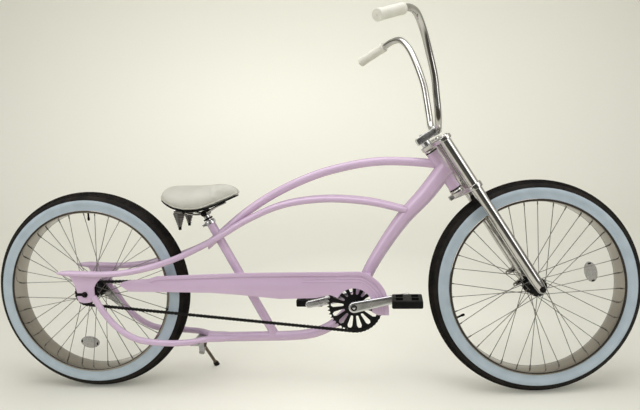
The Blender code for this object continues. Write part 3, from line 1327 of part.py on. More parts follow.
def build():
    clear_scene()
    build_hangers()
    build_main_tubes()
    build_rear_axle()
    for wheel, right, left in (("front", FRONT_HUB_HALF, FRONT_HUB_HALF), ("rear", REAR_HUB_RIGHT, REAR_HUB_LEFT)):
        build_tyre(wheel + "_tyre", wheel + "_wheel")
        build_rim(wheel + "_rim", wheel + "_wheel")
        build_hub(wheel + "_hub", wheel + "_wheel", right, left)
    build_fork()
    build_front_axle()
    build_stem_and_bar()
    build_chainring()
    build_sprocket()
    build_crank()
    build_chain()
    build_guard()
    build_saddle()
    build_seat()
    build_stand()
    centre_on_box()


build()
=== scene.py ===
"""Dresses the stretched pink chopper bicycle and sets it on a pale studio sweep.

Pieces are shaped upright in the bicycle's own ride frame (x forward, y to the rider's left,
z up from the ground), or in the frame of the wheel, crank, pedal or fork that carries them,
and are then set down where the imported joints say.
"""
import json
from math import asin, atan2, cos, degrees, hypot, pi, radians, sin, sqrt, tan

import bmesh
import bpy
from mathutils import Matrix, Vector


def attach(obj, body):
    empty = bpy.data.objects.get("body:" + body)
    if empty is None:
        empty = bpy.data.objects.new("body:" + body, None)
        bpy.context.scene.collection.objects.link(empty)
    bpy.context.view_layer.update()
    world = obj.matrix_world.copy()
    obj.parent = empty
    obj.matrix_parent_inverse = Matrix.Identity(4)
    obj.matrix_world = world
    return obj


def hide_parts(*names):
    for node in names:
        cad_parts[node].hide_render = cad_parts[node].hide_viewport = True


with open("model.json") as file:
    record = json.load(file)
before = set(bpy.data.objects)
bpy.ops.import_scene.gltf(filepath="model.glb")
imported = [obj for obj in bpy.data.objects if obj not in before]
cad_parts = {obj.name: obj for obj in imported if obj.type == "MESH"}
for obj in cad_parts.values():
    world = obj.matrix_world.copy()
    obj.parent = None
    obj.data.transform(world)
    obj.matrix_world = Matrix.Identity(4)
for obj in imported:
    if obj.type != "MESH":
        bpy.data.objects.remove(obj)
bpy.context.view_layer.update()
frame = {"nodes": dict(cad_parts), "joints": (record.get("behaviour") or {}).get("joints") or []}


# Where things are

joints = {joint["name"]: joint for joint in frame["joints"]}


def pivot(name):
    """Where a joint turns, in the stored part."""
    return Vector(joints[name]["pos_m"])


def turning_axis(name):
    """The way that a joint's axis points."""
    return Vector(joints[name]["axis"]).normalized()


def square(x_way, y_way, z_way, origin):
    """Place with its origin here and its three axes these ways."""
    return Matrix.Translation(origin) @ Matrix((x_way, y_way, z_way)).transposed().to_4x4()


WHEELBASE = 1.518
WHEEL_HEIGHT = 0.350
BRACKET = Vector((0.168, 0, 0.303))
REAR_AXLE = Vector((-WHEELBASE / 2, 0, WHEEL_HEIGHT))
CRANK_LENGTH = 0.175
FORK_OFFSET = 0.045

# The ride frame as it leans on the stand, found from the line between the rear axle and the crank
across = turning_axis("crank_spin")
run = pivot("crank_spin") - pivot("rear_wheel_spin")
rise = atan2(BRACKET.z - WHEEL_HEIGHT, BRACKET.x - REAR_AXLE.x)
ahead = run.normalized()
upward = ahead.cross(across).normalized()
ride_x = (ahead * cos(rise) - upward * sin(rise)).normalized()
ride_z = (ahead * sin(rise) + upward * cos(rise)).normalized()
UPRIGHT = square(ride_x, across, ride_z, (0, 0, 0))
RIDE = Matrix.Translation(pivot("rear_wheel_spin") - UPRIGHT @ REAR_AXLE) @ UPRIGHT
REAR = Matrix.Translation(pivot("rear_wheel_spin")) @ UPRIGHT

# The steered frames, turned with the front wheel as it is parked
steer_z = turning_axis("steering")
steer_y = turning_axis("front_wheel_spin")
steer_x = steer_y.cross(steer_z).normalized()
STEER = square(steer_x, steer_y, steer_z, pivot("steering"))
FRONT = square(steer_x, steer_y, steer_z, pivot("front_wheel_spin"))

# The cranks as they stand, the pedals level and the stand on the ground
arm = (pivot("pedal_right_spin") - pivot("crank_spin")).normalized()
CRANK = square(arm, across, arm.cross(across).normalized(), pivot("crank_spin"))
PEDAL = {side: Matrix.Translation(pivot("pedal_%s_spin" % side)) @ UPRIGHT for side in ("right", "left")}
STAND = Matrix.Translation(pivot("side_stand_swing")) @ UPRIGHT

# The head tube in the ride frame, its z axis up the steering axis
HEAD_TILT = radians(31.5)
HEAD_FORWARD = Vector((cos(HEAD_TILT), 0, sin(HEAD_TILT)))
HEAD = Matrix.Translation(Vector((WHEELBASE / 2, 0, WHEEL_HEIGHT)) - HEAD_FORWARD * FORK_OFFSET)
HEAD = HEAD @ Matrix.Rotation(-HEAD_TILT, 4, "Y")

# Turns a piece made round its z axis so that it lies along y
ALONG_Y = Matrix.Rotation(radians(-90), 4, "X")
SIDES = (("right", -1), ("left", 1))


# Finishes

# Wear is finer than the patches of colour by this much
WEAR_SCALE = 2.3
COAT_ROUGHNESS = 0.06


def blank(name, colour, rough, metal=0.0):
    """Plain finish with its node tree, its shader and the coordinates that its patterns read."""
    material = bpy.data.materials.new(name)
    material.use_nodes = True
    tree = material.node_tree
    shader = tree.nodes["Principled BSDF"]
    shader.inputs["Base Color"].default_value = (*colour, 1)
    shader.inputs["Roughness"].default_value = rough
    shader.inputs["Metallic"].default_value = metal
    place = tree.nodes.new("ShaderNodeTexCoord")
    return material, tree, shader, place


def grain(tree, place, scale, detail):
    """Cloudy noise on the piece's own coordinates."""
    noise = tree.nodes.new("ShaderNodeTexNoise")
    noise.inputs["Scale"].default_value = scale
    noise.inputs["Detail"].default_value = detail
    tree.links.new(place.outputs["Object"], noise.inputs["Vector"])
    return noise.outputs["Fac"]


def shades(tree, factor, low, high, start=0.35, end=0.65):
    """Colour that runs from low to high as the factor goes from start to end."""
    ramp = tree.nodes.new("ShaderNodeValToRGB")
    ramp.color_ramp.elements[0].position = start
    ramp.color_ramp.elements[0].color = (*low, 1)
    ramp.color_ramp.elements[1].position = end
    ramp.color_ramp.elements[1].color = (*high, 1)
    tree.links.new(factor, ramp.inputs["Fac"])
    return ramp.outputs["Color"]


def span(tree, factor, low, high, start=0.3, end=0.7):
    """Number that runs from low to high as the factor goes from start to end."""
    mapped = tree.nodes.new("ShaderNodeMapRange")
    mapped.inputs["From Min"].default_value = start
    mapped.inputs["From Max"].default_value = end
    mapped.inputs["To Min"].default_value = low
    mapped.inputs["To Max"].default_value = high
    tree.links.new(factor, mapped.inputs["Value"])
    return mapped.outputs["Result"]


def relief(tree, shader, factor, strength, distance):
    """Let a factor raise and sink the surface."""
    bump = tree.nodes.new("ShaderNodeBump")
    bump.inputs["Strength"].default_value = strength
    bump.inputs["Distance"].default_value = distance
    tree.links.new(factor, bump.inputs["Height"])
    tree.links.new(bump.outputs["Normal"], shader.inputs["Normal"])


def mottled(name, low, high, patch, rough, metal=0.0, bump=None, coat=0.0, shine=0.5):
    """Finish whose colour drifts between two shades in patches, with worn roughness and a fine relief.

    rough is (least, most); bump is (grain scale, strength, depth).
    """
    middle = tuple((a + b) / 2 for a, b in zip(low, high))
    material, tree, shader, place = blank(name, middle, sum(rough) / 2, metal)
    drift = grain(tree, place, patch, 5.0)
    tree.links.new(shades(tree, drift, low, high), shader.inputs["Base Color"])
    wear = span(tree, grain(tree, place, patch * WEAR_SCALE, 4.0), *rough)
    tree.links.new(wear, shader.inputs["Roughness"])
    if bump:
        relief(tree, shader, grain(tree, place, bump[0], 2.0), bump[1], bump[2])
    shader.inputs["Specular IOR Level"].default_value = shine
    shader.inputs["Coat Weight"].default_value = coat
    shader.inputs["Coat Roughness"].default_value = COAT_ROUGHNESS
    return material


frame_paint = mottled("pink_enamel", (0.676, 0.498, 0.680), (0.720, 0.538, 0.722), 3.0, (0.18, 0.26),
                      bump=(420, 0.02, 0.0004), coat=0.6)
chrome = mottled("chrome_plate", (0.62, 0.61, 0.59), (0.76, 0.75, 0.73), 18.0, (0.08, 0.16), 1.0,
                 bump=(240, 0.02, 0.0003))
rim_metal = mottled("spun_rim_alloy", (0.33, 0.305, 0.275), (0.41, 0.38, 0.345), 9.0, (0.11, 0.17), 1.0,
                    bump=(500, 0.02, 0.0002))
spoke_steel = mottled("drawn_spoke_steel", (0.20, 0.192, 0.182), (0.28, 0.270, 0.255), 60.0,
                      (0.30, 0.42), 1.0, bump=(700, 0.05, 0.0003))
silver = mottled("polished_alloy", (0.70, 0.71, 0.72), (0.84, 0.85, 0.86), 16.0, (0.20, 0.30), 1.0,
                 bump=(600, 0.02, 0.0002))
bronze_steel = mottled("bronzed_steel", (0.13, 0.105, 0.075), (0.21, 0.17, 0.12), 40.0, (0.28, 0.40), 1.0,
                       bump=(700, 0.05, 0.0003))
stand_steel = mottled("zinc_plated_steel", (0.42, 0.42, 0.43), (0.58, 0.58, 0.58), 40.0, (0.30, 0.42), 1.0,
                      bump=(700, 0.06, 0.0003))
black_steel = mottled("black_enamelled_steel", (0.004, 0.004, 0.0045), (0.009, 0.0085, 0.0085), 20.0,
                      (0.34, 0.46), bump=(500, 0.05, 0.0003), shine=0.2)
chain_steel = mottled("oiled_chain_steel", (0.004, 0.0038, 0.0036), (0.012, 0.011, 0.010), 90.0,
                      (0.38, 0.55), bump=(900, 0.08, 0.0003), shine=0.25)
tread_rubber = mottled("tread_rubber", (0.008, 0.0068, 0.0062), (0.020, 0.0160, 0.0130), 30.0, (0.62, 0.80),
                       bump=(900, 0.20, 0.0005), shine=0.18)
white_wall = mottled("whitewall_rubber", (0.430, 0.515, 0.580), (0.490, 0.575, 0.640), 22.0, (0.48, 0.62),
                     bump=(700, 0.08, 0.0004))
cream_rubber = mottled("cream_grip_rubber", (0.84, 0.825, 0.730), (0.89, 0.875, 0.785), 30.0, (0.45, 0.6),
                       bump=(900, 0.12, 0.0004))
cream_vinyl = mottled("cream_saddle_vinyl", (0.555, 0.548, 0.480), (0.625, 0.618, 0.545), 12.0, (0.42, 0.55),
                      bump=(520, 0.22, 0.0006))
black_plastic = mottled("moulded_black_plastic", (0.003, 0.003, 0.0033), (0.007, 0.007, 0.007), 45.0,
                        (0.40, 0.55), bump=(800, 0.12, 0.0004), shine=0.18)
clear_plastic = mottled("reflector_plastic", (0.33, 0.325, 0.30), (0.48, 0.47, 0.44), 260.0, (0.12, 0.25),
                        bump=(300, 0.4, 0.0008), coat=0.4)
amber_plastic = mottled("amber_reflector_plastic", (0.55, 0.16, 0.01), (0.80, 0.27, 0.02), 260.0,
                        (0.12, 0.25), bump=(300, 0.4, 0.0008), coat=0.4)


# Ways of shaping a piece

def start():
    """Leave edit mode and let go of everything that is selected."""
    if bpy.context.object and bpy.context.object.mode != "OBJECT":
        bpy.ops.object.mode_set(mode="OBJECT")
    bpy.ops.object.select_all(action="DESELECT")


def shaping(select=True):
    """Enter edit mode on points, with all of them selected or none."""
    bpy.ops.object.mode_set(mode="EDIT")
    bpy.ops.mesh.select_mode(type="VERT")
    bpy.ops.mesh.select_all(action="SELECT" if select else "DESELECT")


def shaped():
    """Leave edit mode and give the piece back."""
    bpy.ops.object.mode_set(mode="OBJECT")
    return bpy.context.object


def take(*pieces):
    """Select these pieces only, the first one active."""
    start()
    for piece in pieces:
        piece.select_set(True)
    bpy.context.view_layer.objects.active = pieces[0]
    return pieces[0]


def clean(piece):
    """Merge doubled points and point every face outwards."""
    take(piece)
    shaping()
    bpy.ops.mesh.remove_doubles(threshold=1e-6)
    bpy.ops.mesh.normals_make_consistent(inside=False)
    return shaped()


def turned(profile, steps=48, hollow=False):
    """Solid or ring turned round z: a disc or circle is drawn up through (radius, height) pairs."""
    start()
    radius, height = profile[0]
    bpy.ops.mesh.primitive_circle_add(vertices=steps, radius=radius, location=(0, 0, height),
                                      fill_type="NOTHING" if hollow else "NGON")
    bpy.ops.object.transform_apply(location=True)
    shaping()
    rest = list(profile[1:]) + ([profile[0]] if hollow else [])
    draw_up = bpy.ops.mesh.extrude_edges_move if hollow else bpy.ops.mesh.extrude_region_move
    for new_radius, new_height in rest:
        draw_up(TRANSFORM_OT_translate={"value": (0, 0, new_height - height)})
        grow = new_radius / radius
        bpy.ops.transform.resize(value=(grow, grow, 1), center_override=(0, 0, new_height))
        radius, height = new_radius, new_height
    return clean(shaped())


def moved(piece, place):
    """The same piece with its mesh carried to a place."""
    piece.data.transform(place)
    return piece


def cut_sheet(outline, low, high, edge=0.0, segments=2):
    """Plate with its outline of (x, z) pairs, between two values of y, its edges rounded."""
    start()
    bpy.ops.mesh.primitive_circle_add(vertices=len(outline), radius=1.0, fill_type="NGON")
    piece = bpy.context.object
    for point, (x, z) in zip(piece.data.vertices, outline):
        point.co = (x, low, z)
    shaping()
    bpy.ops.mesh.extrude_region_move(TRANSFORM_OT_translate={"value": (0, high - low, 0)})
    piece = clean(shaped())
    if edge:
        rounded(piece, edge, segments)
    return piece


def rounded(piece, width, segments):
    """Round every sharp edge of a piece."""
    take(piece)
    step = piece.modifiers.new("rounded", "BEVEL")
    step.width = width
    step.segments = segments
    step.limit_method = "ANGLE"
    step.angle_limit = radians(40)
    step.use_clamp_overlap = True
    bpy.ops.object.modifier_apply(modifier=step.name)
    return piece


def cut_by(piece, *cutters):
    """Take the cutters away from a piece, one by one."""
    for cutter in cutters:
        take(piece)
        step = piece.modifiers.new("cut", "BOOLEAN")
        step.operation = "DIFFERENCE"
        step.solver = "EXACT"
        step.object = cutter
        bpy.ops.object.modifier_apply(modifier=step.name)
        bpy.data.objects.remove(cutter)
    return piece


def joined(*pieces):
    """One piece of several, under the first one's name."""
    take(*pieces)
    if len(pieces) > 1:
        bpy.ops.object.join()
    return bpy.context.object


def copied(piece, place):
    """Copy with a mesh of its own, set in a place."""
    copy = piece.copy()
    copy.data = piece.data.copy()
    bpy.context.collection.objects.link(copy)
    copy.data.transform(place)
    return copy


def flow(stations, steps=8):
    """Smooth curve through the stations; a fourth number is a radius."""
    points = [Vector(station) for station in stations]
    padded = [points[0] * 2 - points[1], *points, points[-1] * 2 - points[-2]]
    path = []
    for a, b, c, d in zip(padded, padded[1:], padded[2:], padded[3:]):
        for step in range(steps):
            t = step / steps
            path.append(0.5 * (2 * b + (c - a) * t + (2 * a - 5 * b + 4 * c - d) * t ** 2
                               + (3 * b - a - 3 * c + d) * t ** 3))
    path.append(points[-1])
    return path


def tube(path, radius=None, sides=32):
    """Round tube drawn on a curve and made a mesh. Its radius is one number or each point's fourth."""
    start()
    bpy.ops.curve.primitive_nurbs_path_add(location=(0, 0, 0))
    piece = bpy.context.object
    data = piece.data
    data.splines.clear()
    line = data.splines.new("POLY")
    line.points.add(len(path) - 1)
    for point, place in zip(line.points, path):
        point.co = (*place[:3], 1)
        point.radius = place[3] if radius is None else radius
    data.dimensions = "3D"
    data.bevel_depth = 1.0
    data.bevel_resolution = sides // 2 - 2
    data.use_fill_caps = True
    bpy.ops.object.convert(target="MESH")
    return clean(bpy.context.object)


def rod(start_point, end_point, radius, sides=32):
    """Straight round bar between two points."""
    return tube([Vector(start_point), Vector(end_point)], radius, sides)


def arc(centre, radius, first, last, steps):
    """Points of an arc in a plane, from one angle to another in degrees."""
    angles = [radians(first + (last - first) * i / steps) for i in range(steps + 1)]
    return [(centre[0] + radius * cos(a), centre[1] + radius * sin(a)) for a in angles]


def link_outline(first, first_radius, second, second_radius, steps=12):
    """Two discs and the straight flanks between them."""
    turn = degrees(atan2(second[1] - first[1], second[0] - first[0]))
    length = hypot(second[0] - first[0], second[1] - first[1])
    flank = degrees(asin((first_radius - second_radius) / length))
    return (arc(first, first_radius, turn + 90 - flank, turn + 270 + flank, steps)
            + arc(second, second_radius, turn - 90 + flank, turn + 90 - flank, steps))


def block(low, high, edge=0.0, segments=2):
    """Bar or block between two corners, its edges rounded."""
    start()
    middle = [(a + b) / 2 for a, b in zip(low, high)]
    bpy.ops.mesh.primitive_cube_add(size=1, location=middle)
    piece = bpy.context.object
    piece.scale = [b - a for a, b in zip(low, high)]
    bpy.ops.object.transform_apply(location=True, rotation=True, scale=True)
    if edge:
        rounded(piece, edge, segments)
    return piece


def towards(origin, way):
    """Place whose z axis points along a direction."""
    return Matrix.Translation(origin) @ Vector(way).to_track_quat("Z", "Y").to_matrix().to_4x4()


def bolt(place, radius=0.0045, height=0.004, socket=True):
    """Cap screw head standing along z, with a hexagon socket, on a washer."""
    profile = [(radius * 1.45, 0), (radius * 1.45, 0.0008), (radius, 0.0008), (radius, height - 0.0006),
               (radius * 0.86, height)]
    if socket:
        profile += [(radius * 0.55, height), (radius * 0.5, height - 0.0022)]
    return moved(turned(profile, 18), place)


def nut(place, radius=0.0085, height=0.0075, stud=0.005, thickness=0.004):
    """Hexagon nut with a washer under it and the threaded end proud of it."""
    washer = turned([(radius * 1.18, 0), (radius * 1.18, 0.0012), (radius * 0.9, 0.0012)], 24)
    body = turned([(radius * 0.93, 0.0012), (radius, 0.0022), (radius, height - 0.0008),
                   (radius * 0.9, height)], 6)
    end = turned([(stud, height * 0.5), (stud, height + thickness - 0.001),
                  (stud * 0.8, height + thickness)], 16)
    return moved(joined(washer, body, end), place)


def settle(piece, name, place, rides, finish, stands_for=(), crease=35):
    """Name a finished piece, put it in its place and hang it on its body."""
    clean(piece)
    piece.name = name
    piece.data.name = name
    piece.data.transform(place)
    if place.determinant() < 0:
        clean(piece)
    take(piece)
    bpy.ops.object.shade_smooth_by_angle(angle=radians(crease))
    if finish:
        piece.data.materials.clear()
        piece.data.materials.append(finish)
    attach(piece, rides)
    if stands_for:
        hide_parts(*stands_for)
    return piece


# Wheels

TYRE_RING = 0.3136
TYRE_CROWN = 0.0354
TYRE_HALF = 0.0384
WALL_FOOT = 0.2878
WALL_EDGE = 0.3245
WALL_FACE = 0.0366
TREAD_FOOT = 0.325
TREAD_HALF = 0.0305
TREAD_STEP = 0.0006
TREAD_SLANT = 2.6
POCKET_MARGIN = 0.00085
POCKET_LIP = 0.0002
POCKET_DEPTH = 0.0014
WHEEL_STEPS = 120
SPOKES = 36
SPOKE_LEAD = radians(58)
SPOKE_RING = 0.028
SPOKE_END = 0.2784
FLANGE_OUT = 0.030
REFLECTOR_LONG = 0.034
REFLECTOR_HIGH = 0.0205


def tyre_profile():
    """Section of the tyre from its left bead over the crown to its right bead."""
    left = [(0.2824, 0.0300), (0.2824, 0.0362), (0.2872, 0.0366), (0.2880, 0.0372)]
    # Degrees from the crown; past 72 the wall stands a little prouder than the shoulder
    for angle in (110, 100, 91, 82, 74.5, 71.5, 66, 58, 50, 42, 34, 26, 18, 10, 3.3):
        a = radians(angle)
        step = TREAD_STEP if angle > 72 else 0.0
        left.append((TYRE_RING + TYRE_CROWN * cos(a), (TYRE_HALF - TREAD_STEP + step) * sin(a)))
    return left + [(radius, -y) for radius, y in reversed(left)]


def slanted(piece, ring, slope):
    """Turn the crown's points forward the further they are from the middle, so that the tread lies in a V."""
    for point in piece.data.vertices:
        radius = hypot(point.co.x, point.co.y)
        if radius > ring:
            angle = atan2(point.co.y, point.co.x) + slope * abs(point.co.z)
            point.co.x = radius * cos(angle)
            point.co.y = radius * sin(angle)


def make_tyre(name, place, rides):
    """Tyre with a pale wall each side and slanted pockets all over its tread, thin ribs between them."""
    tyre = turned(tyre_profile(), WHEEL_STEPS, hollow=True)
    slanted(tyre, WALL_EDGE + 0.0015, TREAD_SLANT)
    tyre.data.materials.append(tread_rubber)
    tyre.data.materials.append(white_wall)
    shaping(select=False)
    mesh = bmesh.from_edit_mesh(tyre.data)
    mesh.faces.ensure_lookup_table()
    for face in mesh.faces:
        middle = face.calc_center_median()
        radius = hypot(middle.x, middle.y)
        face.select_set(abs(middle.z) < TREAD_HALF and radius > TREAD_FOOT)
        if WALL_FOOT < radius < WALL_EDGE and abs(middle.z) > WALL_FACE:
            face.material_index = 1
    bmesh.update_edit_mesh(tyre.data)
    bpy.ops.mesh.select_mode(type="FACE")
    bpy.ops.mesh.inset(thickness=POCKET_MARGIN, depth=0.0, use_individual=True)
    bpy.ops.transform.shrink_fatten(value=-POCKET_LIP)
    bpy.ops.mesh.extrude_faces_move(TRANSFORM_OT_shrink_fatten={"value": -POCKET_DEPTH})
    shaped()
    settle(tyre, name + "_casing", place @ ALONG_Y, rides, None, (name,), crease=28)


def make_rim(name, place, rides):
    """Wide single-wall rim: hooked edges, a seat under the beads and a shallow well for the spokes."""
    left = [(0.2819, 0.0300), (0.2819, 0.0366), (0.2872, 0.0369), (0.2878, 0.0376), (0.2878, 0.0389),
            (0.2868, 0.0397), (0.2815, 0.0397), (0.2795, 0.0390), (0.2788, 0.0376), (0.2787, 0.0200),
            (0.2785, 0.0180)]
    rim = turned(left + [(radius, -y) for radius, y in reversed(left)], WHEEL_STEPS, hollow=True)
    settle(rim, name + "_hoop", place @ ALONG_Y, rides, rim_metal, (name,), crease=30)


def make_spoke(length):
    """Spoke up z: head, plain shank and the nipple that pulls it into the rim."""
    return turned([(0.0019, -0.0022), (0.0019, -0.0010), (0.0012, 0.0), (0.0012, length - 0.0125),
                   (0.0021, length - 0.0120), (0.0021, length - 0.0010), (0.0030, length)], 8)


def make_hub(name, place, rides, right, left):
    """Barrel hub with two flanges and its crossed spokes."""
    barrel = [(0.0064, -right), (0.0133, -right), (0.0140, -0.0340), (0.0300, -0.0318), (0.0315, -0.0308),
              (0.0315, -0.0294), (0.0300, -0.0284), (0.0200, -0.0276), (0.0187, -0.0240), (0.0172, -0.0120),
              (0.0172, 0.0120), (0.0187, 0.0240), (0.0200, 0.0276), (0.0300, 0.0284), (0.0315, 0.0294),
              (0.0315, 0.0308), (0.0300, 0.0318), (0.0140, 0.0340), (0.0133, left), (0.0064, left)]
    hub = turned(barrel, 48, hollow=True)
    settle(hub, name + "_shell", place @ ALONG_Y, rides, black_steel)
    wires = []
    template = None
    for k in range(SPOKES):
        side = 1 if k % 2 else -1
        lead = 1 if (k // 2) % 2 else -1
        rim_angle = 2 * pi * (k + 0.5) / SPOKES
        hub_angle = rim_angle + lead * SPOKE_LEAD
        flange = side * (FLANGE_OUT + lead * 0.0026)
        hub_end = Vector((SPOKE_RING * cos(hub_angle), flange, SPOKE_RING * sin(hub_angle)))
        rim_end = Vector((SPOKE_END * cos(rim_angle), side * 0.006, SPOKE_END * sin(rim_angle)))
        way = rim_end - hub_end
        if template is None:
            template = make_spoke(way.length)
        wires.append(copied(template, towards(hub_end, way)))
    bpy.data.objects.remove(template)
    settle(joined(*wires), name + "_spokes", place, rides, spoke_steel, (name,))


def wheel_fittings(name, place, rides, valve_angle, reflector_angle, reflector_radius):
    """Tyre valve through the rim and a reflector clipped between the spokes."""
    valve = turned([(0.0044, 0.2790), (0.0044, 0.2740), (0.0032, 0.2720), (0.0032, 0.2600), (0.0041, 0.2590),
                    (0.0044, 0.2520), (0.0030, 0.2480)], 16)
    spin = Matrix.Rotation(radians(90 - valve_angle), 4, "Y")
    settle(valve, name + "_valve", place @ spin, rides, black_plastic)
    outline = [(REFLECTOR_LONG * x, REFLECTOR_HIGH * z) for x, z in arc((0, 0), 1.0, 0, 352.5, 47)]
    turn = Matrix.Rotation(radians(90 - reflector_angle), 4, "Y")
    spot = place @ (turn @ Matrix.Translation((0, 0, reflector_radius)))
    plate = cut_sheet(outline, -0.0045, 0.0045, 0.0016)
    settle(plate, name + "_reflector", spot, rides, clear_plastic)
    clips = [block((x - 0.0025, -0.0056, -0.0050), (x + 0.0025, 0.0056, 0.0050), 0.001)
             for x in (-0.029, 0.029)]
    settle(joined(*clips), name + "_reflector_clips", spot, rides, black_plastic)


# Each wheel's place and body, and how far its hub reaches to the right and to the left
for wheel, place, rides, right, left in (("front", FRONT, "front_wheel", 0.0420, 0.0420),
                                         ("rear", REAR, "rear_wheel", 0.0460, 0.0500)):
    make_tyre(wheel + "_tyre", place, rides)
    make_rim(wheel + "_rim", place, rides)
    make_hub(wheel + "_hub", place, rides, right, left)
tilt_front = degrees(HEAD_TILT)
# Angles in degrees round each wheel from straight ahead, upwards
wheel_fittings("rear", REAR, "rear_wheel", 90.5, -99.5, 0.196)
wheel_fittings("front", FRONT, "front_wheel", 201.0 - tilt_front, 12.0 - tilt_front, 0.190)


# Frame

# x, y, z
TOP_TUBE = ((0.445, 0, 0.760), (0.370, 0, 0.769), (0.270, 0, 0.774), (0.170, 0, 0.764), (0.050, 0, 0.736),
            (-0.080, 0, 0.683), (-0.190, 0, 0.618), (-0.292, 0, 0.538))
# x, share of the way out to the rear spread, z
RAIL = ((0.345, 0, 0.612), (0.220, 0, 0.643), (0.080, 0, 0.655), (-0.060, 0, 0.640), (-0.180, 0, 0.595),
        (-0.280, 0, 0.540), (-0.350, 0.18, 0.504), (-0.430, 0.68, 0.470), (-0.510, 0.93, 0.445),
        (-0.600, 1.0, 0.427), (-0.690, 1.0, 0.4205), (-0.800, 1.0, 0.4245))
# Distance past the rail's last station, share of its radius
RAIL_TIP = ((0.012, 0.97), (0.022, 0.88), (0.033, 0.76), (0.042, 0.60), (0.050, 0.42), (0.055, 0.24))
# x, y, z, share of the way to its thinnest
DOWN_TUBE = ((0.478, 0, 0.750, 0.0), (0.411, 0, 0.664, 0.06), (0.335, 0, 0.583, 0.42),
             (0.266, 0, 0.489, 0.75), (0.212, 0, 0.398, 0.92), (0.172, 0, 0.300, 1.0))
# x, y, z
LOWER_TUBE = ((-0.350, 0, 0.176), (-0.180, 0, 0.1785), (-0.030, 0, 0.1830), (0.045, 0, 0.1990),
              (0.105, 0, 0.2340), (0.168, 0, 0.3000))
# x, share of the way out to the rear spread, z
LOWER_STAY = ((-0.290, 0, 0.177), (-0.350, 0.16, 0.177), (-0.400, 0.74, 0.177), (-0.460, 1.0, 0.178),
              (-0.530, 1.0, 0.182), (-0.590, 1.0, 0.195), (-0.645, 1.0, 0.229), (-0.690, 1.0, 0.279),
              (-0.728, 1.0, 0.343))
TOP_RADIUS = 0.0143
TAIL_LENGTH = 0.062
RAIL_RADIUS = 0.0107
SEAT_TUBE_RADIUS = 0.0150
SEAT_TUBE_TOP = 0.590
SEAT_TILT = radians(27.6)
LOWER_TUBE_RADIUS = 0.0165
STAY_SPREAD = 0.0740
RAIL_ROOT = 0.018
RAIL_GAUGE = SEAT_TUBE_RADIUS + RAIL_RADIUS + 0.0003
HEAD_BORE = 0.0192
BRACKET_BORE = 0.0228
GUARD_WINDOW = 0.0600
AXLE_RADIUS = 0.0048
END_PLATE_OUT = 0.070
END_PLATE_HALF = 0.003


def seat_axis(z):
    """Point of the seat tube's axis at a height."""
    return Vector((-0.1135 - (z - 0.182) * tan(SEAT_TILT), 0, z))


def rail_path(side):
    """Twin rail from the down tube past the rear wheel to its rounded tip."""
    stations = []
    for i, (x, share, z) in enumerate(RAIL):
        near = RAIL_ROOT if i == 0 else RAIL_GAUGE
        stations.append((x, side * (near + share * (STAY_SPREAD - near)), z, RAIL_RADIUS))
    path = flow(stations, 6)
    way = (path[-1] - path[-2]).normalized()
    foot = path[-1]
    for reach, share in RAIL_TIP:
        point = foot + way * reach
        point[3] = RAIL_RADIUS * share
        path.append(point)
    return path


def stay_path(side):
    """Lower stay, which grows out of the lower tube and rises to the rear end plate."""
    near = LOWER_TUBE_RADIUS + 0.4 * RAIL_RADIUS
    root = [(-0.235, side * 0.0085, 0.177, 0.0060)]
    return flow(root + [(x, side * (near + share * (STAY_SPREAD - near)), z, RAIL_RADIUS)
                        for x, share, z in LOWER_STAY], 6)


def down_tube_path():
    """Down tube, wide at the head and thinner towards the bracket."""
    return flow([(x, y, z, 0.029 - share * 0.0095) for x, y, z, share in DOWN_TUBE], 8)


def head_bar():
    """Bar along the head tube that mitres what meets it."""
    return moved(turned([(HEAD_BORE, 0.30), (HEAD_BORE, 0.70)], 48), HEAD)


def bracket_bar(radius):
    """Bar across the bicycle through the bottom bracket, to cut by."""
    reach = Vector((0, 0.09, 0))
    return rod(BRACKET - reach, BRACKET + reach, radius, 72)


def painted(piece, name, node, place=RIDE):
    """Settle a painted piece of the frame in its node's stead."""
    settle(piece, name, place, "frame", frame_paint, (node,))


# Radius, and height from the outer end of a headset cup
CUP = ((0.0140, 0), (0.0196, 0), (0.0212, 0.0012), (0.0215, 0.0035), (0.0207, 0.0045), (0.0207, 0.0055),
       (0.0214, 0.0065), (0.0210, 0.0080), (0.0140, 0.0080))
SEAL = ((0.0140, 0.0080), (0.0203, 0.0080), (0.0203, 0.0112), (0.0196, 0.0120), (0.0140, 0.0120))


def make_headset():
    """Head tube with a collar at each end, two cups and the dark seals between."""
    head = turned([(0.0163, 0.4137), (0.0190, 0.4137), (0.0198, 0.4145), (0.0198, 0.4190), (0.0190, 0.4200),
                   (0.0190, 0.5467), (0.0198, 0.5477), (0.0198, 0.5522), (0.0190, 0.5530), (0.0163, 0.5530)],
                  48, hollow=True)
    painted(head, "head_tube_skin", "head_tube", RIDE @ HEAD)
    for name, end, up in (("lower", 0.4014, 1), ("upper", 0.5653, -1)):
        cup, seal = (turned([(radius, end + up * height) for radius, height in section], 48, hollow=True)
                     for section in (CUP, SEAL))
        settle(cup, "headset_%s_cup" % name, RIDE @ HEAD, "frame", chrome, ("headset_" + name,))
        settle(seal, "headset_%s_seal" % name, RIDE @ HEAD, "frame", black_steel)


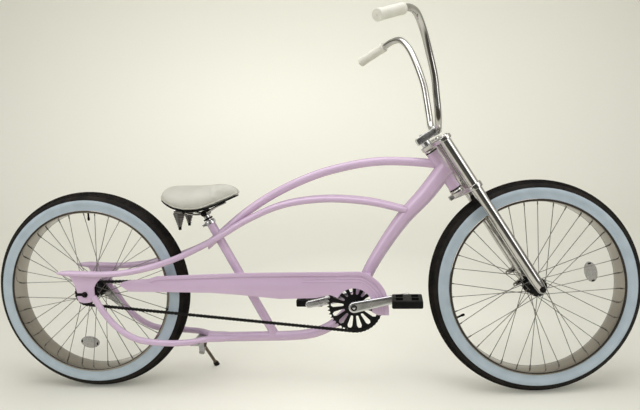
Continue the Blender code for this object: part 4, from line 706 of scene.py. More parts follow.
def make_frame():
    """The tubes with their mitres, the bracket's shell, the twin rails and the lower stays."""
    down = tube(down_tube_path(), None, 40)
    cut_by(down, head_bar(), bracket_bar(BRACKET_BORE))
    painted(down, "down_tube_skin", "down_tube")
    top = tube(flow(TOP_TUBE, 8), TOP_RADIUS, 32)
    cut_by(top, head_bar())
    painted(top, "top_tube_skin", "top_tube")
    way = (Vector(TOP_TUBE[-1]) - Vector(TOP_TUBE[-2])).normalized()
    tail_end = Vector(TOP_TUBE[-1]) + way * TAIL_LENGTH
    tail = rod(Vector(TOP_TUBE[-1]) - way * 0.002, tail_end, TOP_RADIUS, 32)
    sawn = block((-0.06, -0.03, -0.06), (0.0085, 0.03, 0.06))
    cut_by(tail, moved(sawn, Matrix.Translation(tail_end) @ Matrix.Rotation(radians(4), 4, "Y")))
    seat = rod(seat_axis(0.186), seat_axis(SEAT_TUBE_TOP), SEAT_TUBE_RADIUS, 32)
    painted(joined(seat, tail), "seat_tube_skin", "seat_tube")
    lower = tube(flow(LOWER_TUBE, 8), LOWER_TUBE_RADIUS, 32)
    cut_by(lower, bracket_bar(BRACKET_BORE))
    painted(lower, "lower_tube_skin", "lower_tube")
    shell = turned([(0.0140, -0.0340), (0.0222, -0.0340), (0.0230, -0.0332), (0.0230, 0.0332),
                    (0.0222, 0.0340), (0.0140, 0.0340)], 48, hollow=True)
    painted(moved(shell, Matrix.Translation(BRACKET) @ ALONG_Y), "bracket_shell", "bottom_bracket")
    for name, side in SIDES:
        painted(tube(rail_path(side), None, 28), "rail_%s_skin" % name, "rail_" + name)
        painted(tube(stay_path(side), None, 28), "lower_stay_%s_skin" % name, "lower_stay_" + name)
    make_headset()


make_frame()


def make_dropouts():
    """Rear end plates with their slots, and the axle nuts, spacers and studs."""
    x = REAR_AXLE.x
    z = REAR_AXLE.z
    slot = 0.0054
    outline = [(x - 0.058, 0.423), (x - 0.046, 0.404), (x - 0.037, 0.388), (x - 0.0325, 0.376),
               (x - 0.030, 0.366), (x - 0.028, z + slot)]
    outline += arc((x, z), slot, 90, -90, 12)
    outline += [(x - 0.030, z - slot), (x - 0.029, z - 0.014), (x - 0.026, z - 0.0225),
                (x - 0.019, z - 0.0270), (x - 0.006, z - 0.030), (x + 0.012, z - 0.0290),
                (x + 0.026, z - 0.025), (x + 0.0325, z - 0.015), (x + 0.034, z - 0.004),
                (x + 0.0335, z + 0.012), (x + 0.034, z + 0.024), (x + 0.040, 0.385),
                (x + 0.047, 0.394), (x + 0.058, 0.404), (x + 0.075, 0.423)]
    for name, side in SIDES:
        y = side * END_PLATE_OUT
        plate = cut_sheet(outline, y - END_PLATE_HALF, y + END_PLATE_HALF, 0.0010)
        painted(plate, "rear_end_" + name, "dropout_" + name)
    pieces = []
    for side in (-1, 1):
        place = towards(REAR_AXLE + Vector((0, side * 0.0733, 0)), (0, side, 0))
        pieces.append(nut(place, height=0.0085, thickness=0.0058))
        tip = REAR_AXLE + Vector((0, side * 0.0697, 0))
        inner = 0.0592 if side < 0 else 0.0550
        pieces.append(rod(REAR_AXLE + Vector((0, side * inner, 0)), tip, 0.0080 if side < 0 else 0.0095, 24))
    half = Vector((0, 0.074, 0))
    pieces.append(rod(REAR_AXLE - half, REAR_AXLE + half, AXLE_RADIUS, 16))
    settle(joined(*pieces), "rear_axle_set", RIDE, "frame", black_steel, ("rear_axle",))


make_dropouts()


# Fork, crowns, stem, handlebar and grips

LEG_SPREAD = 0.0665
LEG_RADIUS = 0.0180
LEG_TOP = 0.5836
CROWN_TOP = 0.4011
UPPER_CROWN_FOOT = 0.5656
BAR_Z = 0.6057


def crown_outline():
    """Crown seen along the steering axis: a boss behind and a ring round each leg."""
    ring = 0.0240
    right = (FORK_OFFSET, -LEG_SPREAD)
    left = (FORK_OFFSET, LEG_SPREAD)
    rear = arc((0, 0), 0.0245, 125, 235, 10)
    return (rear + arc(right, ring, 205, 400, 20)
            + [(FORK_OFFSET + 0.0105, -0.034), (FORK_OFFSET + 0.0098, -0.020), (FORK_OFFSET + 0.0098, 0.020),
               (FORK_OFFSET + 0.0105, 0.034)]
            + arc(left, ring, -40, 155, 20))


def crown_plate(low, high):
    """Plate seen along the steering axis: made in its own XZ plane and laid down."""
    flat = cut_sheet(crown_outline(), -high, -low, 0.0018, 3)
    return moved(flat, Matrix.Rotation(radians(-90), 4, "X") @ Matrix.Scale(-1, 4, (0, 0, 1)))


def brake_tabs():
    """Two drilled tabs behind the left leg, for a brake that is not fitted."""
    tabs = []
    for z in (0.0185, 0.0669):
        outline = link_outline((FORK_OFFSET - 0.006, z), 0.0095, (0.0035, z), 0.0070)
        tab = cut_sheet(outline, 0.0560, 0.0640, 0.0010)
        tabs.append(cut_by(tab, rod((0.0035, 0.05, z), (0.0035, 0.07, z), 0.0030, 24)))
    return tabs


def make_leg(name, side):
    """Straight leg with a rounded foot, flat where the axle's nuts bear, and a rolled rim at its top."""
    profile = [(0.0054, -0.0160), (0.0082, -0.0146), (0.0106, -0.0120), (0.0130, -0.0078),
               (0.0148, -0.0026), (0.0160, 0.0050), (0.0169, 0.0140), (0.0176, 0.0240), (LEG_RADIUS, 0.0340),
               (LEG_RADIUS, 0.3700), (LEG_RADIUS, LEG_TOP - 0.0022), (0.0168, LEG_TOP - 0.0006),
               (0.0150, LEG_TOP), (0.0120, LEG_TOP), (0.0112, LEG_TOP - 0.0012)]
    leg = moved(turned(profile, 48), Matrix.Translation((FORK_OFFSET, side * LEG_SPREAD, 0)))
    cut_by(leg, rod((FORK_OFFSET, side * 0.0797, 0), (FORK_OFFSET, side * 0.10, 0), 0.0108, 32),
           rod((FORK_OFFSET, side * 0.03, 0), (FORK_OFFSET, side * 0.0533, 0), 0.0108, 32))
    if side > 0:
        leg = joined(leg, *brake_tabs())
    settle(leg, "fork_leg_%s_tube" % name, STEER, "fork", chrome, ("fork_leg_" + name,))


def make_crown(name, low, high):
    """Crown plate with bored and slit clamps and their screws; the lower one carries the steerer."""
    crown = clean(crown_plate(low, high))
    bores = []
    foot, top = low - 0.01, high + 0.01
    for side in (-1, 1):
        y = side * LEG_SPREAD
        near, far = sorted((y, side * (LEG_SPREAD + 0.03)))
        bores.append(rod((FORK_OFFSET, y, foot), (FORK_OFFSET, y, top), LEG_RADIUS + 0.0002, 48))
        bores.append(block((FORK_OFFSET - 0.0008, near, foot), (FORK_OFFSET + 0.0008, far, top)))
    cut_by(crown, *bores)
    middle = (low + high) / 2
    screws = []
    for side in (-1, 1):
        spot = (FORK_OFFSET - 0.017, side * (LEG_SPREAD + 0.0165), middle)
        screws.append(bolt(towards(spot, (-0.62, side * 0.78, 0)), 0.0036, 0.0034))
    if name == "lower":
        lug = block((-0.0345, -0.0100, low + 0.0012), (-0.0180, 0.0100, high - 0.0012), 0.0016)
        cut_by(lug, block((-0.05, -0.0009, low - 0.01), (-0.010, 0.0009, high + 0.01)))
        crown = joined(crown, lug, rod((0, 0, low + 0.002), (0, 0, 0.6130), 0.0127, 32))
        screws.append(bolt(towards((-0.0285, -0.0100, middle), (0, -1, 0)), 0.0036, 0.0036))
        screws.append(bolt(towards((-0.0285, 0.0100, middle), (0, 1, 0)), 0.0036, 0.0030, False))
    settle(crown, name + "_crown_plate", STEER, "fork", chrome, (name + "_crown",))
    settle(joined(*screws), name + "_crown_screws", STEER, "fork", silver)


def make_fork():
    """Two legs, two crowns, and the front axle with its nuts."""
    for name, side in SIDES:
        make_leg(name, side)
    make_crown("lower", CROWN_TOP - 0.0170, CROWN_TOP)
    make_crown("upper", UPPER_CROWN_FOOT, UPPER_CROWN_FOOT + 0.0140)
    pieces = []
    for side in (-1, 1):
        place = towards((FORK_OFFSET, side * 0.0798, 0), (0, side, 0))
        pieces.append(nut(place, height=0.0085, thickness=0.0040))
        pieces.append(rod((FORK_OFFSET, side * 0.0428, 0), (FORK_OFFSET, side * 0.0532, 0), 0.0080, 24))
    pieces.append(rod((FORK_OFFSET, -0.082, 0), (FORK_OFFSET, 0.082, 0), AXLE_RADIUS, 16))
    settle(joined(*pieces), "front_axle_set", STEER, "fork", black_steel, ("front_axle",))


make_fork()


def make_stem():
    """Stem block over the steerer, slit where it grips the bar, with its screws."""
    foot = 0.5939
    top = 0.6169
    side_view = [(-0.0240, foot), (0.0220, foot), (0.0290, foot - 0.0015)]
    side_view += arc((0.050, BAR_Z), 0.0158, -105, 118, 18)
    side_view += [(0.0300, top - 0.0008), (0.0200, top), (-0.0180, top), (-0.0225, top - 0.0018),
                  (-0.0240, top - 0.0060)]
    stem = cut_sheet(side_view, -0.0168, 0.0168, 0.0014, 3)
    cut_by(stem, block((0.0497, -0.03, BAR_Z - 0.03), (0.0506, 0.03, BAR_Z + 0.03)))
    collar = turned([(0.0130, 0.5799), (0.0154, 0.5799), (0.0162, 0.5807), (0.0162, 0.5930),
                     (0.0162, foot + 0.001), (0.0130, foot + 0.001)], 40, hollow=True)
    settle(joined(stem, collar), "stem_block", STEER, "fork", silver, ("stem",))
    screws = [bolt(towards((0.0600, y, BAR_Z + up * 0.0116), (0.35, 0, up)), 0.0030, 0.0030)
              for up in (-1, 1) for y in (-0.010, 0.010)]
    screws.append(bolt(Matrix.Translation((0, 0, top - 0.001)), 0.0052, 0.0050))
    settle(joined(*screws), "stem_screws", STEER, "fork", silver)


# Left half of the bar from the middle of the stem, z from the stem's bore
BAR = ((0.0500, 0.0, 0.0), (0.0500, 0.040, 0.0), (0.0570, 0.068, 0.019), (0.0740, 0.080, 0.052),
       (0.0950, 0.088, 0.096), (0.1190, 0.100, 0.149), (0.1400, 0.120, 0.218), (0.1540, 0.148, 0.280),
       (0.1540, 0.186, 0.326), (0.1340, 0.228, 0.344), (0.1080, 0.262, 0.348), (0.0220, 0.344, 0.358))
BAR_RADIUS = 0.0111
GRIP_RIBS = 26


def grip_profile(length):
    """Sleeve with a flange at its mouth, fine ribs all along and a closed end with a vent."""
    profile = [(0.0116, 0.0008), (0.0168, 0.0010), (0.0175, 0.0020), (0.0175, 0.0055), (0.0165, 0.0075)]
    pitch = (length - 0.020) / GRIP_RIBS
    for k in range(GRIP_RIBS):
        at = 0.0095 + (length - 0.020) * k / GRIP_RIBS
        swell = 0.0157 + 0.0006 * cos(2 * pi * (k / GRIP_RIBS)) ** 2
        profile += [(swell, at), (swell + 0.0007, at + pitch * 0.3), (swell + 0.0007, at + pitch * 0.7)]
    return profile + [(0.0164, length - 0.0085), (0.0175, length - 0.0060), (0.0175, length + 0.0020),
                      (0.0170, length + 0.0036), (0.0080, length + 0.0046), (0.0040, length + 0.0046),
                      (0.0034, length + 0.0020)]


def make_bars():
    """Tall bent handlebar in one piece and a ribbed grip on each end."""
    stations = [Vector((x, y, z + BAR_Z)) for x, y, z in BAR]
    grip_start, grip_end = stations[-2:]
    left = flow(stations[:-1], 10) + [grip_end]
    right = [Vector((point.x, -point.y, point.z)) for point in reversed(left)]
    bar = tube(right[:-1] + left, BAR_RADIUS, 32)
    settle(bar, "handlebar_tube", STEER, "fork", chrome, ("handlebar",))
    way = (grip_end - grip_start).normalized()
    profile = grip_profile((grip_end - grip_start).length)
    for name, side in SIDES:
        place = towards((grip_start.x, side * grip_start.y, grip_start.z), (way.x, side * way.y, way.z))
        settle(moved(turned(profile, 40), place), "grip_%s_sleeve" % name, STEER, "fork", cream_rubber,
               ("grip_" + name,), crease=50)


make_stem()
make_bars()


# Chain, guard, cranks and pedals

PITCH = 0.0127
RING_TEETH = 44
SPROCKET_TEETH = 20
CHAIN_LINE = 0.0530


def chain_stations():
    """Pin places round both sprockets, a pitch apart, as (x, z)."""
    ring = PITCH / (2 * sin(pi / RING_TEETH))
    small = PITCH / (2 * sin(pi / SPROCKET_TEETH))
    front = Vector((BRACKET.x, BRACKET.z))
    rear = Vector((REAR_AXLE.x, REAR_AXLE.z))
    between = front - rear
    along = atan2(between.y, between.x)
    spread = asin((ring - small) / between.length)
    top = along + pi / 2 + spread
    foot = along - pi / 2 - spread
    straight = sqrt(between.length ** 2 - (ring - small) ** 2)
    wrap_front = ring * (top - foot)
    wrap_rear = small * (2 * pi - (top - foot))
    total = 2 * straight + wrap_front + wrap_rear
    count = 2 * round(total / PITCH / 2)
    points = []
    for i in range(count):
        s = total * i / count
        if s < straight:
            way = Vector((cos(foot), sin(foot)))
            points.append((rear + way * small).lerp(front + way * ring, s / straight))
        elif s < straight + wrap_front:
            angle = foot + (s - straight) / ring
            points.append(front + Vector((cos(angle), sin(angle))) * ring)
        elif s < 2 * straight + wrap_front:
            way = Vector((cos(top), sin(top)))
            share = (s - straight - wrap_front) / straight
            points.append((front + way * ring).lerp(rear + way * small, share))
        else:
            angle = top + (s - 2 * straight - wrap_front) / small
            points.append(rear + Vector((cos(angle), sin(angle))) * small)
    return points


def chain_link(length, reach, wide):
    """Pair of waisted plates, reach out from the middle: wide ones with pins, the others with rollers."""
    waist = 0.0036
    outline = (arc((0, 0), 0.0055, 115, 245, 5) + [(length * 0.5, -waist)]
               + arc((length, 0), 0.0055, -65, 65, 5) + [(length * 0.5, waist)])
    parts = []
    for side in (-1, 1):
        low, high = sorted((side * reach, side * (reach - 0.0010)))
        parts.append(cut_sheet(outline, low, high))
    radius, half = (0.0018, reach + 0.0006) if wide else (0.0036, reach - 0.0012)
    for x in (0, length):
        parts.append(rod((x, -half, 0), (x, half, 0), radius, 8))
    return joined(*parts)


def make_chain():
    """One closed loop of outer and inner links in turn."""
    points = chain_stations()
    spacing = (points[1] - points[0]).length
    outer = chain_link(spacing, 0.0038, True)
    inner = chain_link(spacing, 0.0026, False)
    links = []
    for i, here in enumerate(points):
        there = points[(i + 1) % len(points)]
        turn = Matrix.Rotation(-atan2(there.y - here.y, there.x - here.x), 4, "Y")
        place = Matrix.Translation((here.x, -CHAIN_LINE, here.y)) @ turn
        links.append(copied(outer if i % 2 else inner, place))
    bpy.data.objects.remove(outer)
    bpy.data.objects.remove(inner)
    settle(joined(*links), "chain_links", RIDE, "frame", chain_steel, ("chain",))


make_chain()

# Outline of the guard as (x, z): upper edge from the rear, nose, and lower edge back
GUARD_REAR = ((-0.637, 0.382), (-0.624, 0.392), (-0.592, 0.399), (-0.530, 0.402), (-0.500, 0.411),
              (-0.383, 0.414), (-0.214, 0.419), (0.000, 0.419))
GUARD_NOSE = ((0.150, 0.419), (0.189, 0.4185), (0.212, 0.412), (0.234, 0.398), (0.254, 0.380), (0.268, 0.358),
              (0.277, 0.334), (0.281, 0.300), (0.281, 0.272))
GUARD_UNDER = ((0.245, 0.272), (0.219, 0.286), (0.090, 0.341), (0.041, 0.331), (-0.079, 0.329),
               (-0.218, 0.344), (-0.321, 0.352), (-0.602, 0.358))


def make_guard():
    """Sheet with a wide rolled upper edge, three pressed ribs, the crank's window and two tabs."""
    nose = [(point.x, point.z) for point in flow([(x, 0, z) for x, z in GUARD_NOSE], 4)]
    sheet = cut_sheet([*GUARD_REAR, *nose, *GUARD_UNDER], -0.0672, -0.0660, 0.0005)
    cut_by(sheet, bracket_bar(GUARD_WINDOW))
    upper = [Vector((x, z)) for x, z in [*GUARD_REAR[3:], *nose]]
    lower = []
    for i, point in enumerate(upper):
        way = (upper[min(i + 1, len(upper) - 1)] - upper[max(i - 1, 0)]).normalized()
        lower.append(point + Vector((way.y, -way.x)) * 0.0135)
    strip = cut_sheet([tuple(point) for point in [*upper, *reversed(lower)]], -0.0698, -0.0664, 0.0024, 4)
    cut_by(strip, bracket_bar(GUARD_WINDOW))
    # Each rib's distance from the upper edge, in widths of the rolled edge, and how far back it runs
    ribs = []
    for depth, rear in ((1.16, -0.54), (1.75, -0.01), (2.45, -0.01)):
        line = [point.lerp(other, depth) for point, other in zip(upper, lower) if point.x > rear]
        ribs.append(tube([Vector((point.x, -0.0672, point.y)) for point in line], 0.0014, 12))
    tabs = []
    for x, inner in ((seat_axis(0.4045).x, 0.0120), (0.2155, 0.0160)):
        tabs.append(block((x - 0.010, -0.0668, 0.4045), (x + 0.010, -inner, 0.4075), 0.0008))
    painted(joined(sheet, strip, *ribs, *tabs), "chain_guard_sheet", "chain_guard")


make_guard()


CRANK_INNER = 0.0755
CRANK_OUTER = 0.0885
PEDAL_INNER = 0.0935
PEDAL_WIDTH = 0.0880


def make_cranks():
    """Forged arms with a bolt in a recess, the axles that the pedals turn on, and the spindle."""
    for name, side in SIDES:
        reach = -side * CRANK_LENGTH
        low, high = sorted((side * CRANK_INNER, side * CRANK_OUTER))
        arm_plate = cut_sheet(link_outline((0, 0), 0.0180, (reach, 0), 0.0125, 16), low, high, 0.0042, 4)
        spider_end = 0.0549 if side < 0 else 0.0400
        boss = rod((0, side * spider_end, 0), (0, side * 0.0775, 0), 0.0150, 40)
        cut_by(arm_plate, rod((0, side * 0.0840, 0), (0, side * 0.0950, 0), 0.0104, 40),
               rod((reach, side * 0.0720, 0), (reach, side * 0.0776, 0), 0.0064, 32))
        settle(joined(arm_plate, boss), "crank_%s_forging" % name, CRANK, "crank", silver,
               ("crank_arm_" + name,))
        recess = towards((0, side * 0.0842, 0), (0, side, 0))
        washer = turned([(0.0101, 0), (0.0101, 0.0010), (0.0072, 0.0012)], 32)
        head = turned([(0.0086, 0.0010), (0.0086, 0.0028), (0.0078, 0.0034), (0.0060, 0.0034)], 6)
        settle(moved(joined(washer, head), recess), "crank_%s_bolt" % name, CRANK, "crank", black_steel)
        stud = turned([(0.0050, 0.0028), (0.0050, 0.0039), (0.0036, 0.0043)], 24)
        settle(moved(stud, recess), "crank_%s_stud" % name, CRANK, "crank", silver)
        stub = rod((reach, side * 0.0780, 0), (reach, side * 0.1775, 0), 0.0056, 24)
        flats = moved(turned([(0.0085, 0), (0.0085, 0.0040), (0.0070, 0.0045)], 6),
                      towards((reach, side * 0.0886, 0), (0, side, 0)))
        settle(joined(stub, flats), "pedal_%s_axle" % name, CRANK, "crank", silver)
    spindle = rod((0, -0.0820, 0), (0, 0.0820, 0), 0.0085, 32)
    settle(spindle, "bracket_axle", CRANK, "crank", silver, ("crank_spindle",))


make_cranks()


def make_pedal(name, side):
    """Moulded platform pedal: cage with windows, grip ridges and an amber reflector in each edge."""
    low, high = sorted((side * PEDAL_INNER, side * (PEDAL_INNER + PEDAL_WIDTH)))
    cage = block((-0.048, low, -0.013), (0.048, high, 0.013), 0.0052, 4)
    holes = []
    for x0, x1 in ((-0.0360, -0.0130), (0.0130, 0.0360)):
        middle = (low + high) / 2
        holes.append(block((x0, low + 0.009, -0.03), (x1, middle - 0.003, 0.03), 0.003))
        holes.append(block((x0, middle + 0.003, -0.03), (x1, high - 0.009, 0.03), 0.003))
    for x in (-0.048, 0.048):
        holes.append(block((x - 0.004, low + 0.016, -0.0085), (x + 0.004, high - 0.016, 0.0085), 0.001))
    cut_by(cage, *holes)
    ridges = []
    for z in (-0.013, 0.013):
        foot, crest = sorted((z, z * 0.94))
        for x in (-0.0425, 0.0425):
            for k in range(9):
                y = low + 0.010 + k * 0.0085
                ridge = block((x - 0.0035, y - 0.0018, foot), (x + 0.0035, y + 0.0018, crest), 0.0002, 1)
                ridges.append(ridge)
    settle(joined(cage, *ridges), "pedal_%s_cage" % name, PEDAL[name], "pedal_" + name, black_plastic,
           ("pedal_" + name,))
    lamps = [block((x - 0.0016, low + 0.018, -0.0070), (x + 0.0016, high - 0.018, 0.0070), 0.0006)
             for x in (-0.0450, 0.0450)]
    settle(joined(*lamps), "pedal_%s_reflectors" % name, PEDAL[name], "pedal_" + name, amber_plastic)


for name, side in SIDES:
    make_pedal(name, side)


# Saddle

# x, half width, height of the skirt's edge, height of the crown
SADDLE = ((-0.473, 0.055, 0.683, 0.700), (-0.463, 0.088, 0.672, 0.708), (-0.440, 0.108, 0.658, 0.712),
          (-0.412, 0.114, 0.645, 0.711), (-0.375, 0.110, 0.637, 0.709), (-0.335, 0.093, 0.636, 0.709),
          (-0.300, 0.068, 0.645, 0.711), (-0.265, 0.045, 0.659, 0.714), (-0.235, 0.031, 0.671, 0.711),
          (-0.215, 0.018, 0.680, 0.700))


def saddle_stations(steps=3):
    """The rows above with finer ones between them."""
    return [tuple(point) for point in flow(SADDLE, steps)]


def saddle_ring(x, half, skirt, crown, shrink, points=28):
    """Section across the saddle: a full arch from edge to edge and a flat underside."""
    ring = []
    half -= shrink
    crown -= shrink
    for k in range(points + 1):
        a = pi * k / points
        ring.append((x, half * cos(a), skirt + (crown - skirt) * max(sin(a), 0) ** 0.7))
    ring += [(x, half * share, skirt + 0.002) for share in (-0.75, -0.4, 0.0, 0.4, 0.75)]
    return ring


def lofted(rings):
    """Closed skin drawn ring by ring: each new ring is extruded from the last and moved to its points."""
    count = len(rings[0])
    start()
    bpy.ops.mesh.primitive_circle_add(vertices=count, radius=1, fill_type="NGON")
    piece = bpy.context.object
    for point, place in zip(piece.data.vertices, rings[0]):
        point.co = place
    shaping()
    for ring in rings[1:]:
        bpy.ops.mesh.extrude_region_move(TRANSFORM_OT_translate={"value": (0, 0, 0)})
        mesh = bmesh.from_edit_mesh(piece.data)
        face = next(f for f in mesh.faces if f.select)
        order = [loop.vert for loop in face.loops]
        first = min(range(count), key=lambda i: order[i].index)
        order = order[first:] + order[:first]
        if order[1].index > order[-1].index:
            order = [order[0]] + order[:0:-1]
        for vert, place in zip(order, ring):
            vert.co = place
        bmesh.update_edit_mesh(piece.data)
    return clean(shaped())


def swollen(piece, cap, voxel=0.0045, pressure=4.0):
    """Fill a skin like a foam pad: cloth blown up for 20 frames, no point moving further than cap."""
    take(piece)
    step = piece.modifiers.new("skin", "REMESH")
    step.mode = "VOXEL"
    step.voxel_size = voxel
    bpy.ops.object.modifier_apply(modifier=step.name)
    before = [vert.co.copy() for vert in piece.data.vertices]
    step = piece.modifiers.new("filling", "CLOTH")
    step.settings.use_pressure = True
    step.settings.uniform_pressure_force = pressure
    step.settings.effector_weights.gravity = 0
    step.settings.quality = 5
    step.point_cache.frame_start = 1
    step.point_cache.frame_end = 20
    for number in range(1, 21):
        bpy.context.scene.frame_set(number)
    take(piece)
    bpy.ops.object.modifier_apply(modifier=step.name)
    bpy.context.scene.frame_set(1)
    for vert, old in zip(piece.data.vertices, before):
        move = vert.co - old
        if move.length > cap:
            vert.co = old + move * (cap / move.length)
    take(piece)
    step = piece.modifiers.new("smooth", "SMOOTH")
    step.factor = 0.5
    step.iterations = 6
    bpy.ops.object.modifier_apply(modifier=step.name)
    step = piece.modifiers.new("finer", "SUBSURF")
    step.levels = step.render_levels = 1
    bpy.ops.object.modifier_apply(modifier=step.name)
    return piece


def piping_line(pad):
    """Closed line round the pad, on its skin just above the skirt's edge."""
    stations = saddle_stations(4)
    tail, nose = stations[0], stations[-1]
    around = [(x, half * 0.960, skirt) for x, half, skirt, crown in stations]
    around += [(nose[0], side * nose[1] * 0.5, nose[2]) for side in (1, 0, -1)]
    around += [(x, -half * 0.960, skirt) for x, half, skirt, crown in reversed(stations)]
    around += [(tail[0], side * tail[1] * 0.5, tail[2]) for side in (-1, 0, 1)]
    line = []
    for x, y, skirt in around:
        on_skin, outward = pad.closest_point_on_mesh((x, y, skirt + 0.0040))[1:3]
        line.append(on_skin + 0.0006 * outward)
    return [*line, line[0]]


def make_saddle():
    """Soft pad blown up a little inside the saddle's outline, and a cord of piping round its edge."""
    rings = [saddle_ring(*station, shrink=0.004) for station in saddle_stations()]
    pad = swollen(lofted(rings), 0.006)
    bpy.context.view_layer.update()
    line = piping_line(pad)
    settle(pad, "saddle_pad", RIDE, "frame", cream_vinyl, ("saddle",), crease=180)
    settle(tube(line, 0.0022, 10), "saddle_piping", RIDE, "frame", cream_vinyl)


make_saddle()

PAN_GAP = 0.0003
PAN_THICKNESS = 0.005
CLAMP_HEIGHT = 0.605
SPRING_X = -0.414
SPRING_TURNS = 8
SPRING_STEPS = 20


def pan_height(x):
    """Underside of the pan at a place along the saddle."""
    for a, b in zip(SADDLE, SADDLE[1:]):
        if a[0] <= x <= b[0]:
            share = (x - a[0]) / (b[0] - a[0])
            return a[2] + (b[2] - a[2]) * share - PAN_GAP - PAN_THICKNESS
    return SADDLE[0][2] - PAN_GAP - PAN_THICKNESS


def make_pan():
    """Shell under the pad, narrower than it all round."""
    rings = []
    for x, half, skirt, crown in saddle_stations(2)[1:-1]:
        top = skirt - PAN_GAP
        foot = top - PAN_THICKNESS
        edge = 0.86 * half
        rings.append([(x, y, top) for y in (edge, 0, -edge)] + [(x, y, foot) for y in (-edge, 0, edge)])
    settle(lofted(rings), "saddle_shell", RIDE, "frame", black_plastic, ("saddle_pan",))


def make_seat_post():
    """Post, the collar that clamps it in the seat tube, and the ring under the saddle's clamp."""
    top = seat_axis(SEAT_TUBE_TOP)
    clamp = seat_axis(CLAMP_HEIGHT)
    up = (clamp - top).normalized()
    post = rod(top - up * 0.01, clamp + up * 0.004, 0.0111, 32)
    settle(post, "seat_post_tube", RIDE, "frame", silver, ("seat_post",))
    wall = 0.0191
    collar = turned([(0.0152, 0), (wall - 0.0008, 0), (wall, 0.0010), (wall, 0.0128), (wall - 0.0008, 0.0140),
                     (0.0113, 0.0140)], 40, hollow=True)
    moved(collar, towards(top - up * 0.0150, up))
    lug = block((-0.028, -0.0095, -0.0052), (-0.013, 0.0095, 0.0052), 0.0012)
    cut_by(lug, block((-0.04, -0.0008, -0.02), (-0.005, 0.0008, 0.02)))
    moved(lug, Matrix.Translation(top - up * 0.0075) @ Matrix.Rotation(-SEAT_TILT, 4, "Y"))
    settle(joined(collar, lug), "seat_collar_ring", RIDE, "frame", silver, ("seat_collar",))
    ring = turned([(0.0112, 0), (0.0156, 0), (0.0164, 0.0008), (0.0164, 0.0052), (0.0156, 0.0060),
                   (0.0112, 0.0060)], 40, hollow=True)
    settle(moved(ring, towards(top + up * 0.0030, up)), "saddle_clamp_ring", RIDE, "frame", black_steel)


def spring_coil(side):
    """Conical spring that winds down to its bolt, its wire so thick that the turns close."""
    coil = []
    for k in range(SPRING_TURNS * SPRING_STEPS + 1):
        share = k / (SPRING_TURNS * SPRING_STEPS)
        radius = 0.0186 - 0.0146 * share
        a = 2 * pi * SPRING_TURNS * share
        coil.append(Vector((SPRING_X + radius * cos(a), side * 0.050 + radius * sin(a),
                            0.6245 - 0.0470 * share, 0.0029)))
    return tube(coil, None, 12)


def make_carrier():
    """Two bent wires from under the nose to the clamp and on to the bracket that holds the springs."""
    clamp = seat_axis(CLAMP_HEIGHT)
    rail_z = clamp.z + 0.0113
    drum_x = clamp.x - 0.002
    parts = []
    springs = [rod((drum_x, -0.028, rail_z), (drum_x, 0.028, rail_z), 0.0105, 32)]
    for side in (-1, 1):
        y = side * 0.022
        wire = flow([(-0.268, y * 0.6, pan_height(-0.268) - 0.0038),
                     (-0.300, y * 0.9, pan_height(-0.300) - 0.0045), (drum_x, y, rail_z),
                     (drum_x - 0.036, y * 1.2, rail_z - 0.002), (SPRING_X, side * 0.040, 0.6270)], 8)
        parts.append(tube(wire, 0.0034, 16))
        springs.append(spring_coil(side))
    bracket_top = pan_height(SPRING_X + 0.012) - 0.0003
    parts.append(block((SPRING_X - 0.012, -0.070, 0.6255), (SPRING_X + 0.012, 0.070, bracket_top), 0.0015))
    settle(joined(*parts), "saddle_carrier", RIDE, "frame", chrome, ("saddle_frame",))
    settle(joined(*springs), "saddle_springs", RIDE, "frame", spoke_steel)
    tips = [bolt(towards((SPRING_X, side * 0.050, 0.5765), (0, 0, -1)), 0.0052, 0.0105, False)
            for side in (-1, 1)]
    tips += [bolt(towards((drum_x, side * 0.028, rail_z), (0, side, 0)), 0.0065, 0.0050, False)
             for side in (-1, 1)]
    settle(joined(*tips), "saddle_bolts", RIDE, "frame", black_steel)


make_pan()
make_seat_post()
make_carrier()


# Side stand and the nodes that keep their own shape

STAND_SPLAY = radians(45)
stand_down = Vector((sin(radians(3)), sin(STAND_SPLAY), -cos(STAND_SPLAY))).normalized()
stand_axis = turning_axis("side_stand_swing")


def make_stand():
    """Straight leg from its pivot to the ground, with a rubber shoe that the ground cuts flat."""
    foot_reach = -(pivot("side_stand_swing").z) / (UPRIGHT @ stand_down).z
    # Share of the way to the ground, radius
    path = []
    for share, radius in ((0.0, 0.0058), (0.72, 0.0058), (0.84, 0.0060), (0.88, 0.0085), (0.93, 0.0100),
                          (1.08, 0.0100)):
        path.append(Vector((*(stand_down * foot_reach * share), radius)))
    leg = tube(path[:3], None, 32)
    shoe = tube(path[2:], None, 32)
    under = STAND.translation
    sole = block((under.x - 0.3, under.y - 0.3, -0.1), (under.x + 0.3, under.y + 0.3, 0))
    cut_by(shoe, moved(sole, STAND.inverted()))
    axis = UPRIGHT.inverted() @ stand_axis
    boss = rod(-axis * 0.0115, axis * 0.0115, 0.0115, 32)
    settle(joined(leg, boss), "side_stand_leg", STAND, "side_stand", bronze_steel, ("side_stand",))
    settle(shoe, "side_stand_shoe", STAND, "side_stand", tread_rubber)


make_stand()

for node, finish in (("chainring", black_steel), ("sprocket", black_steel), ("brake_arm", silver),
                     ("stand_bracket", stand_steel)):
    solid = frame["nodes"][node]
    solid.data.materials.clear()
    solid.data.materials.append(finish)


# Studio: one pale sweep, soft lights, and the camera where the photograph was taken

SWEEP_COLOUR = (0.78, 0.770, 0.685)
SWEEP_MIRRORED = (0.10, 0.088, 0.075)
SWEEP_WIDTH = 18.0
SWEEP_FRONT = -6.0
SWEEP_BEND = 2.2
SWEEP_RADIUS = 1.6
SWEEP_TOP = 7.0


